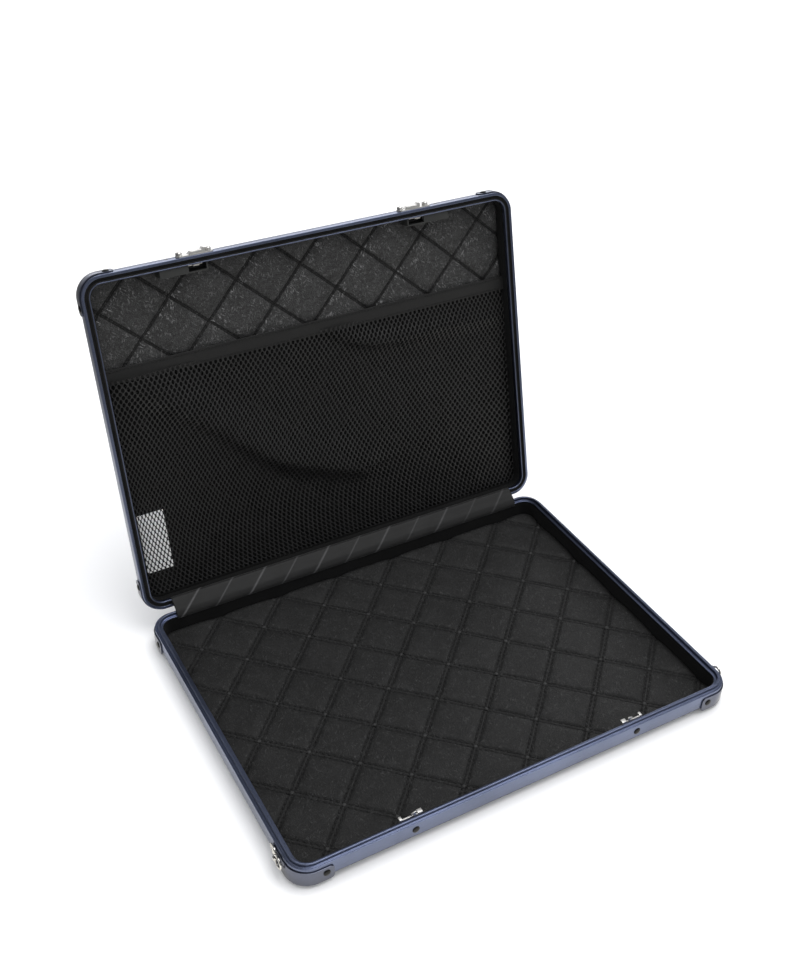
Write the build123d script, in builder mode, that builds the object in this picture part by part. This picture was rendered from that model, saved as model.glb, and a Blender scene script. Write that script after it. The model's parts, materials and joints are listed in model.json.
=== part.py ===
"""A thin hard case for a laptop: two framed trays, a piano hinge, two sliding latches and a net pocket.

Millimetres. X runs along the hinge, Y from the front to the hinge, Z up. The origin is the centre of
the case's plan, on the surface that the closed underside rests on. The lid's pieces are drawn as they
lie when the case is shut, and then turned back about the hinge's pin, so the case stands open.
"""

from build123d import *

import os
from math import sqrt

os.makedirs("parts", exist_ok=True)

# ---- The case -------------------------------------------------------------------------------------
case_width = 390.0  # outside, along the hinge
case_depth = 291.0  # outside, front to back
corner_radius = 17.5  # outside corner, in plan
base_height = 20.0  # resting face to the base's rim
lid_height = 19.0  # lid's rim to its outer face
lid_open_angle = 104.5  # how far the hinge strip lets the lid go back
parting_gap = 0.3  # between the two rims when the case is shut

# ---- Rolled frames, as widths inward from the outside ----------------------------------------------
wall_thickness = 1.3
base_wall_height = 13.0
lid_wall_height = 10.0
shoulder_width = 2.7
tongue_width = 1.9
tongue_height = 2.5  # above the base's rim
ledge_width = 2.3
ledge_drop = 0.5  # below the base's rim
flange_thickness = 1.8  # base's rim to the flange's underside
tongue_side_clearance = 0.3
tongue_top_clearance = 0.8
groove_floor_thickness = 1.2
lip_width = 1.5

# ---- Moulded trays, their boards and pads ----------------------------------------------------------
panel_thickness = 1.2
panel_fit = 0.1  # between a tray's wall and the frame
panel_edge_radius = 6.8  # outside edge, in section
liner_thickness = 1.0
liner_stand_off = 3.2  # tray's inside to the board
lining_thickness = 3.5
lining_fit = 0.1  # between a pad and the board round it
bedding_gap = 0.3  # between a soft piece and what it lies in

# ---- Corner guards and their rivets ------------------------------------------------------------------
guard_thickness = 1.0
guard_fit = 0.05
guard_leg = 30.0  # from the case's outer corner
guard_end_radius = 3.4
guard_rim_margin = 3.0  # rim to the guard's near edge
base_guard_height = 13.6
lid_guard_height = 8.8
guard_rivet_setback = 24.0  # from the case's outer corner
base_guard_rivet_drop = 8.6  # below the rim
lid_rivet_rise = 6.4  # above the lid's rim, for every rivet of the lid
rivet_shank_radius = 1.2
rivet_fit = 0.05
rivet_head_radius = 2.8
rivet_head_height = 1.1
rivet_tail_radius = 1.8
rivet_tail_thickness = 0.8

# ---- Piano hinge -------------------------------------------------------------------------------------
hinge_pin_radius = 1.0
hinge_pin_fit = 0.05
knuckle_radius = 2.3
knuckle_wall_gap = 0.2  # knuckle to the back wall
knuckle_side_gap = 0.3
knuckle_count = 17
leaf_thickness = 0.8
leaf_edge_gap = 0.4  # leaf's edge to the other leaf's knuckles
base_leaf_depth = 12.3  # rim to the leaf's lower edge
lid_leaf_depth = 9.6
hinge_guard_gap = 1.0
leaf_rivet_count = 8
base_leaf_rivet_drop = 8.0
leaf_rivet_head_radius = 2.2
leaf_rivet_head_height = 0.8

# ---- Hinge strip -------------------------------------------------------------------------------------
strip_length = 344.0
strip_thickness = 0.6
strip_hem = 2.4

# ---- Strikes -----------------------------------------------------------------------------------------
strike_centre = 99.5  # from the case's middle
strike_length = 19.0
strike_thickness = 1.1
strike_lip_clearance = 0.3  # ledge to the strike's web
strike_web_rise = 0.2  # above the rim
strike_ear_rise = 0.9
strike_ear_depth = 2.3
strike_inner_ear = 4.0
strike_ear_clearance = 0.3  # bolt to the outer ear, at the end of the bolt's travel
strike_leg_width = 12.0
strike_leg_drop = 9.6
strike_rivet_drop = 6.1
strike_rivet_head_radius = 3.0
hook_offset = 4.0  # strike's centre to the hook's inner side
hook_stem_width = 2.0
hook_nose_reach = 2.0
hook_height = 3.4  # above the rim
hook_nose_height = 1.9  # above the rim, to the nose's underside
hook_tip_thickness = 0.5

# ---- Latches -----------------------------------------------------------------------------------------
latch_centre = 99.5
latch_length = 30.0
latch_height = 8.6
latch_rise = 5.0  # lid's rim to the middle of the latch plate
latch_plate_thickness = 1.0
latch_boss_setback = 2.8
latch_boss_radius = 2.7
latch_boss_height = 2.6
latch_travel = 3.5
button_length = 14.0
button_height = 6.2
button_thickness = 2.0
button_ramp = 2.0
button_ridge_width = 3.0
button_ridge_height = 1.6
sliding_fit = 0.1
stem_length = 5.0
stem_height = 2.2
stem_gap = 0.3  # round the stem, where it passes the walls
bolt_thickness = 1.1
bolt_bar_height = 3.0
bolt_leg_gap = 0.5  # hook's nose to the bolt's leg, when latched
bolt_leg_width = 3.0
bolt_tail_length = 6.0  # leg to the bolt's outer end
bolt_finger_reach = 1.5  # under the hook's nose
bolt_finger_gap = 0.2
bolt_finger_height = 0.9
bolt_tab_reach = 3.6
housing_length = 40.0
housing_width = 6.6
housing_wall = 1.0
housing_rise = 1.4  # lid's rim to the housing's near face
window_length = 15.0
window_margin = 1.2
housing_rivet_setback = 8.4  # from the housing's outer end
housing_foot_length = 6.0
housing_foot_depth = 0.9
spring_radius = 1.3
spring_wire_radius = 0.25
spring_turns = 9

# ---- Strap lugs and rings ----------------------------------------------------------------------------
lug_guard_leg = 36.0  # the longer leg of a front guard, under the lug
lug_rivet_setback = 30.5
lug_drop = 6.1  # below the rim
lug_length = 12.0  # eye to the plate's far end
lug_height = 7.0
lug_thickness = 0.9
lug_neck = 2.6  # eye to the plate's near end
lug_eye_setback = 25.5  # from the case's front to the eye
eye_wall = 1.0
eye_set_off = 0.05  # guard's outside to the eye's back
eye_height = 2.4
ring_radius = 4.7  # to the wire's centre
ring_wire_radius = 0.8
ring_eye_clearance = 0.25

# ---- Net pocket --------------------------------------------------------------------------------------
pocket_reach = 212.8  # back wall to the pocket's mouth
pocket_depth = 2.0  # pad to the net
net_thickness = 0.8
binding_width = 12.3
binding_thickness = 1.4
label_width = 23.0
label_length = 54.0
label_thickness = 0.3
label_side_margin = 4.0  # pad's edge to the label
label_back_margin = 23.0

# ---- Derived places ----------------------------------------------------------------------------------
half_width = case_width / 2
half_depth = case_depth / 2
tongue_inset = shoulder_width + tongue_width
frame_depth = tongue_inset + ledge_width
lid_rim = base_height + parting_gap
groove_outer = shoulder_width - tongue_side_clearance
groove_inner = frame_depth - lip_width
groove_depth = tongue_height - parting_gap + tongue_top_clearance
lid_flange_height = groove_depth + groove_floor_thickness
panel_inset = wall_thickness + panel_fit
panel_inside = panel_inset + panel_thickness
liner_outer = panel_inside + liner_stand_off
liner_inner = liner_outer + liner_thickness
lining_inset = liner_inner + lining_fit
guard_proud = guard_fit + guard_thickness
rivet_grip = panel_inside + rivet_fit
base_floor = panel_thickness + bedding_gap + lining_thickness
lid_floor = lid_height - base_floor  # lid's rim to its pad, which is as thick as the base's
hinge_y = half_depth + knuckle_wall_gap + knuckle_radius
hinge_z = base_height + parting_gap / 2
hinge_length = case_width - 2 * (guard_leg + hinge_guard_gap)
knuckle_length = hinge_length / knuckle_count
strike_web = frame_depth + strike_lip_clearance
hook_outer = strike_centre - hook_offset + hook_stem_width
nose_end = hook_outer + hook_nose_reach
bolt_leg_start = nose_end + bolt_leg_gap
bolt_leg_end = bolt_leg_start + bolt_leg_width
bolt_end = bolt_leg_end + bolt_tail_length
outer_ear_start = bolt_leg_end + latch_travel + strike_ear_clearance
housing_height = lid_floor - bedding_gap - housing_rise
stem_rise = lid_flange_height + stem_gap + stem_height / 2
to_shut = Location((0, hinge_y, hinge_z))
lid_opening = to_shut * Location((0, 0, 0), (-lid_open_angle, 0, 0)) * to_shut.inverse()
shut = Location()
sides = {"left": -1, "right": 1}


# ---- Shared shapes -----------------------------------------------------------------------------------
def keep(builder, name, pose=shut):
    """Labels a finished piece, turns it to where it stands and writes it."""
    piece = pose * builder.part
    piece.label = name
    export_step(piece, f"parts/{name}.step")


def outline(inset, mode=Mode.ADD):
    """Adds the case's plan, drawn in by an inset, to the open sketch."""
    RectangleRounded(case_width - 2 * inset, case_depth - 2 * inset, corner_radius - inset, mode=mode)


def ring(bottom, top, outer_inset, inner_inset):
    """Adds a level ring between two insets of the plan to the open part."""
    with BuildSketch(Plane.XY.offset(bottom)) as band:
        outline(outer_inset)
        outline(inner_inset, Mode.SUBTRACT)
    extrude(band.sketch, amount=top - bottom)


def block(x, y, z, mode=Mode.ADD):
    """Adds a block to the open part, given as its limits along each axis, in either order."""
    with BuildSketch(Plane.XY.offset(min(z))) as base:
        with Locations(((x[0] + x[1]) / 2, (y[0] + y[1]) / 2)):
            Rectangle(abs(x[1] - x[0]), abs(y[1] - y[0]))
    extrude(base.sketch, amount=abs(z[1] - z[0]), mode=mode)


def on_wall(x, y, z, outward):
    """A plane on a wall, with its normal out of the case and its first axis up."""
    return Plane(origin=(x, y, z), x_dir=(0, 0, 1), z_dir=outward)


def front_wall(inset):
    """The place along Y at an inset from the front."""
    return -half_depth + inset


def add_rivets(seats, grip, head_radius, head_height, shank_radius=rivet_shank_radius):
    """Adds rivets to the open part: a domed head on each seat, a shank and a flat tail."""
    for seat in seats:
        section = Plane(origin=seat.origin, x_dir=seat.x_dir, z_dir=-seat.y_dir)
        tail = -grip - rivet_tail_thickness
        with BuildSketch(section) as profile:
            with BuildLine():
                TangentArc((0, head_height), (head_radius, 0), tangent=(1, 0))
                Polyline(
                    (head_radius, 0),
                    (shank_radius, 0),
                    (shank_radius, -grip),
                    (rivet_tail_radius, -grip),
                    (rivet_tail_radius, tail),
                    (0, tail),
                    (0, head_height),
                )
            make_face()
        revolve(profile.sketch, axis=Axis(seat.origin, seat.z_dir))


def drill(seats, depth, radius=rivet_shank_radius + rivet_fit):
    """Drills the open part inward from each seat."""
    with Locations(*seats):
        Hole(radius, depth=depth)


def panel_floor(inset):
    """Height of a tray's inside above its outer face, at an inset from the case's plan."""
    inner_radius = panel_edge_radius - panel_thickness
    from_centre = max(panel_inset + panel_edge_radius - inset, 0)
    return panel_edge_radius - sqrt(inner_radius**2 - from_centre**2)


# ---- Where the rivets go -----------------------------------------------------------------------------
def corner_seats(side_x, side_y, z, side_setback=guard_rivet_setback):
    """The two rivet seats of a corner guard: one on the front or back wall, one on the end wall."""
    along_front = on_wall(side_x * (half_width - guard_rivet_setback), side_y * half_depth, z, (0, side_y, 0))
    along_end = on_wall(side_x * half_width, side_y * (half_depth - side_setback), z, (side_x, 0, 0))
    return [along_front, along_end]


base_guard_z = base_height - base_guard_rivet_drop
lid_rivet_z = lid_rim + lid_rivet_rise
leaf_pitch = hinge_length / leaf_rivet_count
leaf_rivet_x = [(index + 0.5) * leaf_pitch - hinge_length / 2 for index in range(leaf_rivet_count)]
back_seats = [corner_seats(side, 1, base_guard_z) for side in sides.values()]
front_seats = [corner_seats(side, -1, base_guard_z)[0] for side in sides.values()]
base_guard_seats = [seat for pair in back_seats for seat in pair] + front_seats
lug_seats = [
    on_wall(side * half_width, front_wall(lug_rivet_setback), base_height - lug_drop, (side, 0, 0))
    for side in sides.values()
]
lid_guard_seats = [
    seat
    for side_x in sides.values()
    for side_y in (-1, 1)
    for seat in corner_seats(side_x, side_y, lid_rivet_z)
]
base_leaf_seats = [
    on_wall(x, half_depth, base_height - base_leaf_rivet_drop, (0, 1, 0)) for x in leaf_rivet_x
]
lid_leaf_seats = [on_wall(x, half_depth, lid_rivet_z, (0, 1, 0)) for x in leaf_rivet_x]
strike_seats = [
    on_wall(side * strike_centre, -half_depth, base_height - strike_rivet_drop, (0, -1, 0))
    for side in sides.values()
]
latch_seats = [
    on_wall(
        side * latch_centre + end * (latch_length / 2 - latch_boss_setback),
        -half_depth,
        lid_rivet_z,
        (0, -1, 0),
    )
    for side in sides.values()
    for end in (-1, 1)
]
housing_outer_end = latch_centre - window_length / 2 - window_margin + housing_length
housing_seats = [
    on_wall(side * (housing_outer_end - housing_rivet_setback), -half_depth, lid_rivet_z, (0, -1, 0))
    for side in sides.values()
]
base_wall_seats = base_guard_seats + lug_seats + base_leaf_seats + strike_seats
lid_wall_seats = lid_guard_seats + lid_leaf_seats + latch_seats + housing_seats


# ---- Base: frame, tray, board and pad ----------------------------------------------------------------
with BuildPart() as base_frame:
    flange_bottom = base_height - flange_thickness
    ring(base_height - base_wall_height, base_height, 0, wall_thickness)
    ring(flange_bottom, base_height, wall_thickness, shoulder_width)
    ring(flange_bottom, base_height + tongue_height, shoulder_width, tongue_inset)
    ring(flange_bottom, base_height - ledge_drop, tongue_inset, frame_depth)
    drill(base_wall_seats, wall_thickness)
keep(base_frame, "base_frame")


def tray(closed_level, open_level):
    """A moulded tray, closed and rounded at one level and open at the other."""
    with BuildPart() as shell:
        with BuildSketch(Plane.XY.offset(closed_level)):
            outline(panel_inset)
        extrude(amount=open_level - closed_level)
        to_open_side = Axis((0, 0, 0), (0, 0, open_level - closed_level))
        closed_face = shell.faces().sort_by(to_open_side)[0]
        fillet(closed_face.edges(), panel_edge_radius)
        open_face = shell.faces().sort_by(to_open_side)[-1]
        offset(amount=-panel_thickness, openings=open_face)
    return shell


base_panel = tray(0, base_height - flange_thickness - panel_fit)
with base_panel:
    drill(base_wall_seats, panel_inside + rivet_tail_thickness)
keep(base_panel, "base_panel")

with BuildPart() as base_side_liner:
    liner_top = base_height - flange_thickness - panel_fit
    ring(panel_floor(liner_outer) + bedding_gap, liner_top, liner_outer, liner_inner)
    for side in sides.values():
        strike_ends = [side * (strike_centre + end * strike_length / 2) for end in (-1, 1)]
        notch_bottom = base_height - flange_thickness - panel_fit - strike_thickness - bedding_gap
        block(
            strike_ends,
            (front_wall(liner_outer), front_wall(liner_inner)),
            (notch_bottom, liner_top),
            Mode.SUBTRACT,
        )
keep(base_side_liner, "base_side_liner")

with BuildPart() as base_lining:
    with BuildSketch(Plane.XY.offset(base_floor - lining_thickness)):
        outline(lining_inset)
    extrude(amount=lining_thickness)
keep(base_lining, "base_lining")


# ---- Corner guards -----------------------------------------------------------------------------------
def corner_guard(side_x, side_y, bottom, height, seats, end_leg=guard_leg):
    """A plate bent round one corner of the case, with rounded ends and two rivet holes."""
    far_x = side_x * (half_width - guard_leg)
    far_y = side_y * (half_depth - end_leg)
    near_x = side_x * (half_width + guard_proud)
    near_y = side_y * (half_depth + guard_proud)
    with BuildPart() as guard:
        with BuildSketch(Plane.XY.offset(bottom)):
            outline(-guard_proud)
            outline(-guard_fit, Mode.SUBTRACT)
            with Locations(((far_x + near_x) / 2, (far_y + near_y) / 2)):
                Rectangle(abs(near_x - far_x), abs(near_y - far_y), mode=Mode.INTERSECT)
        extrude(amount=height)
        front_end = guard.faces().sort_by(Axis((0, 0, 0), (side_x, 0, 0)))[0]
        side_end = guard.faces().sort_by(Axis((0, 0, 0), (0, side_y, 0)))[0]
        fillet(front_end.edges().filter_by(Axis.Y), guard_end_radius)
        fillet(side_end.edges().filter_by(Axis.X), guard_end_radius)
        drill([seat.offset(guard_proud) for seat in seats], guard_thickness)
    return guard


for side_name, side_x in sides.items():
    for end_name, side_y in (("front", -1), ("back", 1)):
        base_leg = lug_guard_leg if side_y < 0 else guard_leg
        base_seats = corner_seats(side_x, side_y, base_guard_z)
        if side_y < 0:
            base_seats = [base_seats[0], lug_seats[list(sides).index(side_name)]]
        base_bottom = base_height - guard_rim_margin - base_guard_height
        base_guard = corner_guard(side_x, side_y, base_bottom, base_guard_height, base_seats, base_leg)
        keep(base_guard, f"base_guard_{end_name}_{side_name}")
        lid_seats = corner_seats(side_x, side_y, lid_rivet_z)
        lid_bottom = lid_rim + guard_rim_margin
        lid_guard = corner_guard(side_x, side_y, lid_bottom, lid_guard_height, lid_seats)
        keep(lid_guard, f"lid_guard_{end_name}_{side_name}", lid_opening)

with BuildPart() as base_guard_rivets:
    on_guards = [seat.offset(guard_proud) for seat in base_guard_seats]
    add_rivets(on_guards, guard_proud + rivet_grip, rivet_head_radius, rivet_head_height)
keep(base_guard_rivets, "base_guard_rivets")

with BuildPart() as lid_guard_rivets:
    on_guards = [seat.offset(guard_proud) for seat in lid_guard_seats]
    add_rivets(on_guards, guard_proud + rivet_grip, rivet_head_radius, rivet_head_height)
keep(lid_guard_rivets, "lid_guard_rivets", lid_opening)


# ---- Strikes -----------------------------------------------------------------------------------------
def strike(side):
    """A folded strike: a leg on the front wall, a shelf under the flange, and a web with ears and a hook."""
    web_near = front_wall(strike_web)
    web_far = front_wall(strike_web + strike_thickness)
    ear_far = web_far + strike_ear_depth
    leg_near = front_wall(panel_inside + rivet_fit)
    leg = [side * (strike_centre + end * strike_leg_width / 2) for end in (-1, 1)]
    inner_end = strike_centre - strike_length / 2
    outer_end = strike_centre + strike_length / 2
    shelf_top = base_height - flange_thickness - panel_fit
    shelf_bottom = shelf_top - strike_thickness
    ear_top = base_height + strike_ear_rise
    hook_inner = hook_outer - hook_stem_width
    web_top = base_height + strike_web_rise
    nose_bottom = base_height + hook_nose_height
    with BuildPart() as part:
        block(leg, (leg_near, leg_near + strike_thickness), (base_height - strike_leg_drop, shelf_top))
        block(leg, (leg_near, web_far), (shelf_bottom, shelf_top))
        block((side * inner_end, side * outer_end), (web_near, web_far), (shelf_bottom, web_top))
        for ear in (
            (inner_end, inner_end + strike_inner_ear),
            (outer_ear_start, outer_end),
        ):
            ear_ends = [side * end for end in ear]
            block(ear_ends, (web_near, web_far), (web_top, ear_top))
            block(ear_ends, (web_far, ear_far), (ear_top - strike_thickness, ear_top))
        with BuildSketch(Plane.XZ.offset(-web_far)):
            with BuildLine():
                Polyline(
                    (side * hook_inner, web_top),
                    (side * hook_inner, base_height + hook_height),
                    (side * (hook_outer - hook_stem_width / 2), base_height + hook_height),
                    (side * nose_end, nose_bottom + hook_tip_thickness),
                    (side * nose_end, nose_bottom),
                    (side * hook_outer, nose_bottom),
                    (side * hook_outer, web_top),
                    close=True,
                )
            make_face()
        extrude(amount=strike_thickness)
        drill(strike_seats, leg_near + strike_thickness + half_depth)
    return part


for side_name, side_x in sides.items():
    keep(strike(side_x), f"strike_{side_name}")

with BuildPart() as strike_rivets:
    add_rivets(strike_seats, rivet_grip + strike_thickness, strike_rivet_head_radius, rivet_head_height)
keep(strike_rivets, "strike_rivets")


# ---- Strap lugs and rings ----------------------------------------------------------------------------
eye_inner_radius = ring_wire_radius + ring_eye_clearance
eye_outer_radius = eye_inner_radius + eye_wall
eye_y = front_wall(lug_eye_setback)
eye_x = half_width + guard_proud + eye_set_off + eye_outer_radius
lug_z = base_height - lug_drop


def strap_lug(side):
    """A plate riveted over the guard's end, with a neck that is rolled into an upright eye."""
    plate_near = side * (half_width + guard_proud)
    plate_far = plate_near + side * lug_thickness
    plate_x = (plate_near + plate_far) / 2
    plate_start = eye_y + lug_neck
    plate_end = eye_y + lug_length
    eye_bottom = lug_z - eye_height / 2
    with BuildPart() as lug:
        block(
            (plate_near, plate_far),
            (plate_start, plate_end),
            (lug_z - lug_height / 2, lug_z + lug_height / 2),
        )
        fillet(lug.edges().filter_by(Axis.X), (lug_height - lug_thickness) / 2)
        with BuildSketch(Plane.XY.offset(eye_bottom)) as neck:
            with Locations((side * eye_x, eye_y)):
                Circle(eye_outer_radius)
            with Locations((plate_x, (eye_y + plate_start + lug_thickness) / 2)):
                Rectangle(lug_thickness, lug_neck + lug_thickness)
            with Locations((side * eye_x, eye_y)):
                Circle(eye_inner_radius, mode=Mode.SUBTRACT)
        extrude(neck.sketch, amount=eye_height)
        drill([seat.offset(guard_proud + lug_thickness) for seat in lug_seats], lug_thickness)
    return lug


def strap_ring(side):
    """A round wire ring, lying along the end wall with its back in the eye."""
    centre = (side * eye_x, eye_y - ring_radius, lug_z)
    with BuildPart() as loop:
        with BuildSketch(Plane(origin=centre, x_dir=(0, 1, 0), z_dir=(0, 0, 1))) as wire:
            with Locations((ring_radius, 0)):
                Circle(ring_wire_radius)
        revolve(wire.sketch, axis=Axis(centre, (1, 0, 0)))
    return loop


for side_name, side_x in sides.items():
    keep(strap_lug(side_x), f"strap_lug_{side_name}")
    keep(strap_ring(side_x), f"strap_ring_{side_name}")

with BuildPart() as strap_lug_rivets:
    lug_proud = guard_proud + lug_thickness
    on_lugs = [seat.offset(lug_proud) for seat in lug_seats]
    add_rivets(on_lugs, lug_proud + rivet_grip, rivet_head_radius, rivet_head_height)
keep(strap_lug_rivets, "strap_lug_rivets")


# ---- Piano hinge -------------------------------------------------------------------------------------
def hinge_leaf(direction, first_knuckle, far_edge, seats):
    """A leaf on the back wall, below or above the pin, with every second knuckle of the hinge."""
    near_edge = hinge_z + direction * (knuckle_radius + leaf_edge_gap)
    leaf_y = (half_depth, half_depth + leaf_thickness)
    with BuildPart() as leaf:
        block((-hinge_length / 2, hinge_length / 2), leaf_y, (near_edge, far_edge))
        for index in range(first_knuckle, knuckle_count, 2):
            start = index * knuckle_length - hinge_length / 2 + knuckle_side_gap / 2
            end = start + knuckle_length - knuckle_side_gap
            block((start, end), leaf_y, (hinge_z, near_edge))
            with BuildSketch(Plane.YZ.offset(start)):
                with Locations((hinge_y, hinge_z)):
                    Circle(knuckle_radius)
            extrude(amount=end - start)
        with BuildSketch(Plane.YZ.offset(-hinge_length / 2)):
            with Locations((hinge_y, hinge_z)):
                Circle(hinge_pin_radius + hinge_pin_fit)
        extrude(amount=hinge_length, mode=Mode.SUBTRACT)
        drill([seat.offset(leaf_thickness) for seat in seats], leaf_thickness)
    return leaf


leaf_base = hinge_leaf(-1, 0, base_height - base_leaf_depth, base_leaf_seats)
keep(leaf_base, "hinge_leaf_base")
leaf_lid = hinge_leaf(1, 1, lid_rim + lid_leaf_depth, lid_leaf_seats)
keep(leaf_lid, "hinge_leaf_lid", lid_opening)

with BuildPart() as hinge_pin:
    with BuildSketch(Plane.YZ.offset(-hinge_length / 2)):
        with Locations((hinge_y, hinge_z)):
            Circle(hinge_pin_radius)
    extrude(amount=hinge_length)
keep(hinge_pin, "hinge_pin")

for name, seats, pose in (
    ("hinge_rivets_base", base_leaf_seats, shut),
    ("hinge_rivets_lid", lid_leaf_seats, lid_opening),
):
    with BuildPart() as leaf_rivets:
        add_rivets(
            [seat.offset(leaf_thickness) for seat in seats],
            leaf_thickness + rivet_grip,
            leaf_rivet_head_radius,
            leaf_rivet_head_height,
        )
    keep(leaf_rivets, name, pose)


# ---- Hinge strip -------------------------------------------------------------------------------------
def opened(y, z):
    """Where a point of the shut lid's section goes when the lid is open."""
    place = (lid_opening * Location((0, y, z))).position
    return (place.Y, place.Z)


with BuildPart() as hinge_strip:
    half_strip = strip_thickness / 2
    ledge_y = half_depth - frame_depth - half_strip
    tongue_y = half_depth - tongue_inset
    lip_y = half_depth - frame_depth - bedding_gap - half_strip
    with BuildSketch(Plane.YZ.offset(-strip_length / 2)) as strip_section:
        with BuildLine():
            Polyline(
                (ledge_y, base_height - ledge_drop - strip_hem),
                (ledge_y, base_height - ledge_drop + half_strip),
                (tongue_y - half_strip, base_height + tongue_height + bedding_gap + half_strip),
                opened(lip_y, lid_rim - half_strip),
                opened(lip_y, lid_rim + strip_hem),
            )
        trace(line_width=strip_thickness)
    extrude(amount=strip_length)
keep(hinge_strip, "hinge_strip")


# ---- Lid: frame, tray, board and pad -----------------------------------------------------------------
def stem_slot(side, inset_from, inset_to):
    """Cuts the slot that a latch's stem slides in through the open part's front wall."""
    rest = side * (latch_centre - latch_travel / 2)
    reach = side * (latch_centre + latch_travel / 2)
    half = stem_length / 2 + stem_gap
    block(
        (min(rest, reach) - half, max(rest, reach) + half),
        (front_wall(inset_from), front_wall(inset_to)),
        (lid_rim + stem_rise - stem_height / 2 - stem_gap, lid_rim + stem_rise + stem_height / 2 + stem_gap),
        Mode.SUBTRACT,
    )


with BuildPart() as lid_frame:
    ring(lid_rim, lid_rim + lid_wall_height, 0, wall_thickness)
    ring(lid_rim, lid_rim + lid_flange_height, wall_thickness, groove_outer)
    ring(lid_rim + groove_depth, lid_rim + lid_flange_height, groove_outer, groove_inner)
    ring(lid_rim, lid_rim + lid_flange_height, groove_inner, frame_depth)
    drill(lid_wall_seats, wall_thickness)
    for side in sides.values():
        stem_slot(side, 0, wall_thickness)
keep(lid_frame, "lid_frame", lid_opening)

lid_panel_start = lid_rim + lid_flange_height + panel_fit
lid_panel = tray(lid_rim + lid_height, lid_panel_start)
with lid_panel:
    drill(lid_wall_seats, panel_inside + rivet_tail_thickness)
    for side in sides.values():
        stem_slot(side, panel_inset, panel_inside)
keep(lid_panel, "lid_panel", lid_opening)

with BuildPart() as lid_side_liner:
    liner_far = lid_rim + lid_height - panel_floor(liner_outer) - bedding_gap
    ring(lid_panel_start, liner_far, liner_outer, liner_inner)
    drill(housing_seats, liner_inner)
    for side in sides.values():
        stem_slot(side, liner_outer, liner_inner)
keep(lid_side_liner, "lid_side_liner", lid_opening)

with BuildPart() as lid_lining:
    with BuildSketch(Plane.XY.offset(lid_rim + lid_floor)):
        outline(lining_inset)
    extrude(amount=lining_thickness)
keep(lid_lining, "lid_lining", lid_opening)


# ---- Net pocket --------------------------------------------------------------------------------------
mouth_y = half_depth - pocket_reach
net_middle = lid_rim + lid_floor - pocket_depth - net_thickness / 2


def pocket_layer(thickness, y_start, y_end):
    """A flat layer of the pocket, as wide as the pad, between two places along Y."""
    with BuildPart() as layer:
        with BuildSketch(Plane.XY.offset(net_middle - thickness / 2)):
            outline(lining_inset)
            with Locations((0, (y_start + y_end) / 2)):
                Rectangle(case_width, y_end - y_start, mode=Mode.INTERSECT)
        extrude(amount=thickness)
    return layer


mesh_pocket = pocket_layer(net_thickness, mouth_y + binding_width, half_depth)
keep(mesh_pocket, "mesh_pocket", lid_opening)
pocket_binding = pocket_layer(binding_thickness, mouth_y, mouth_y + binding_width)
keep(pocket_binding, "pocket_binding", lid_opening)

with BuildPart() as pocket_label:
    label_x = lining_inset + label_side_margin - half_width
    label_y = half_depth - lining_inset - label_back_margin
    block(
        (label_x, label_x + label_width),
        (label_y - label_length, label_y),
        (lid_rim + lid_floor - label_thickness, lid_rim + lid_floor),
    )
keep(pocket_label, "pocket_label", lid_opening)


# ---- Latches -----------------------------------------------------------------------------------------
def span(side, start, length):
    """The limits along X of a piece that starts at a distance from the middle and runs outward."""
    return (side * start, side * (start + length))


def latch_plate(side):
    """The plate on the lid's front wall, with the stem's slot and two rivet holes."""
    rest = side * (latch_centre - latch_travel / 2)
    reach = side * (latch_centre + latch_travel / 2)
    half = stem_length / 2 + stem_gap
    slot = (min(rest, reach) - half, max(rest, reach) + half)
    plate_y = (front_wall(-latch_plate_thickness), front_wall(0))
    middle = lid_rim + latch_rise
    stem_z = lid_rim + stem_rise
    with BuildPart() as plate:
        block(
            span(side, latch_centre - latch_length / 2, latch_length),
            plate_y,
            (middle - latch_height / 2, middle + latch_height / 2),
        )
        fillet(plate.edges().filter_by(Axis.Y), latch_height / 4)
        block(
            slot,
            plate_y,
            (stem_z - stem_height / 2 - stem_gap, stem_z + stem_height / 2 + stem_gap),
            Mode.SUBTRACT,
        )
        drill([seat.offset(latch_plate_thickness) for seat in latch_seats], latch_plate_thickness)
    return plate


bolt_near = frame_depth + bedding_gap
bolt_far = bolt_near + bolt_thickness


def latch_button(side):
    """The slider outside the plate: a ramp at one end, a finger ridge at the other, and a stem inward."""
    centre = side * (latch_centre - latch_travel / 2)
    stem_z = lid_rim + stem_rise
    near = front_wall(-latch_plate_thickness - sliding_fit)
    face = near - button_thickness
    left = centre - button_length / 2
    right = centre + button_length / 2
    middle = lid_rim + latch_rise
    with BuildPart() as button:
        with BuildSketch(Plane.XY.offset(middle - button_height / 2)):
            with BuildLine():
                Polyline(
                    (left, near),
                    (left + button_ramp, face),
                    (right - button_ridge_width, face),
                    (right - button_ridge_width / 2, face - button_ridge_height),
                    (right, face - button_ridge_height),
                    (right, near),
                    close=True,
                )
            make_face()
        extrude(amount=button_height)
        block(
            (centre - stem_length / 2, centre + stem_length / 2),
            (near, front_wall(bolt_far)),
            (stem_z - stem_height / 2, stem_z + stem_height / 2),
        )
    return button


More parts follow.
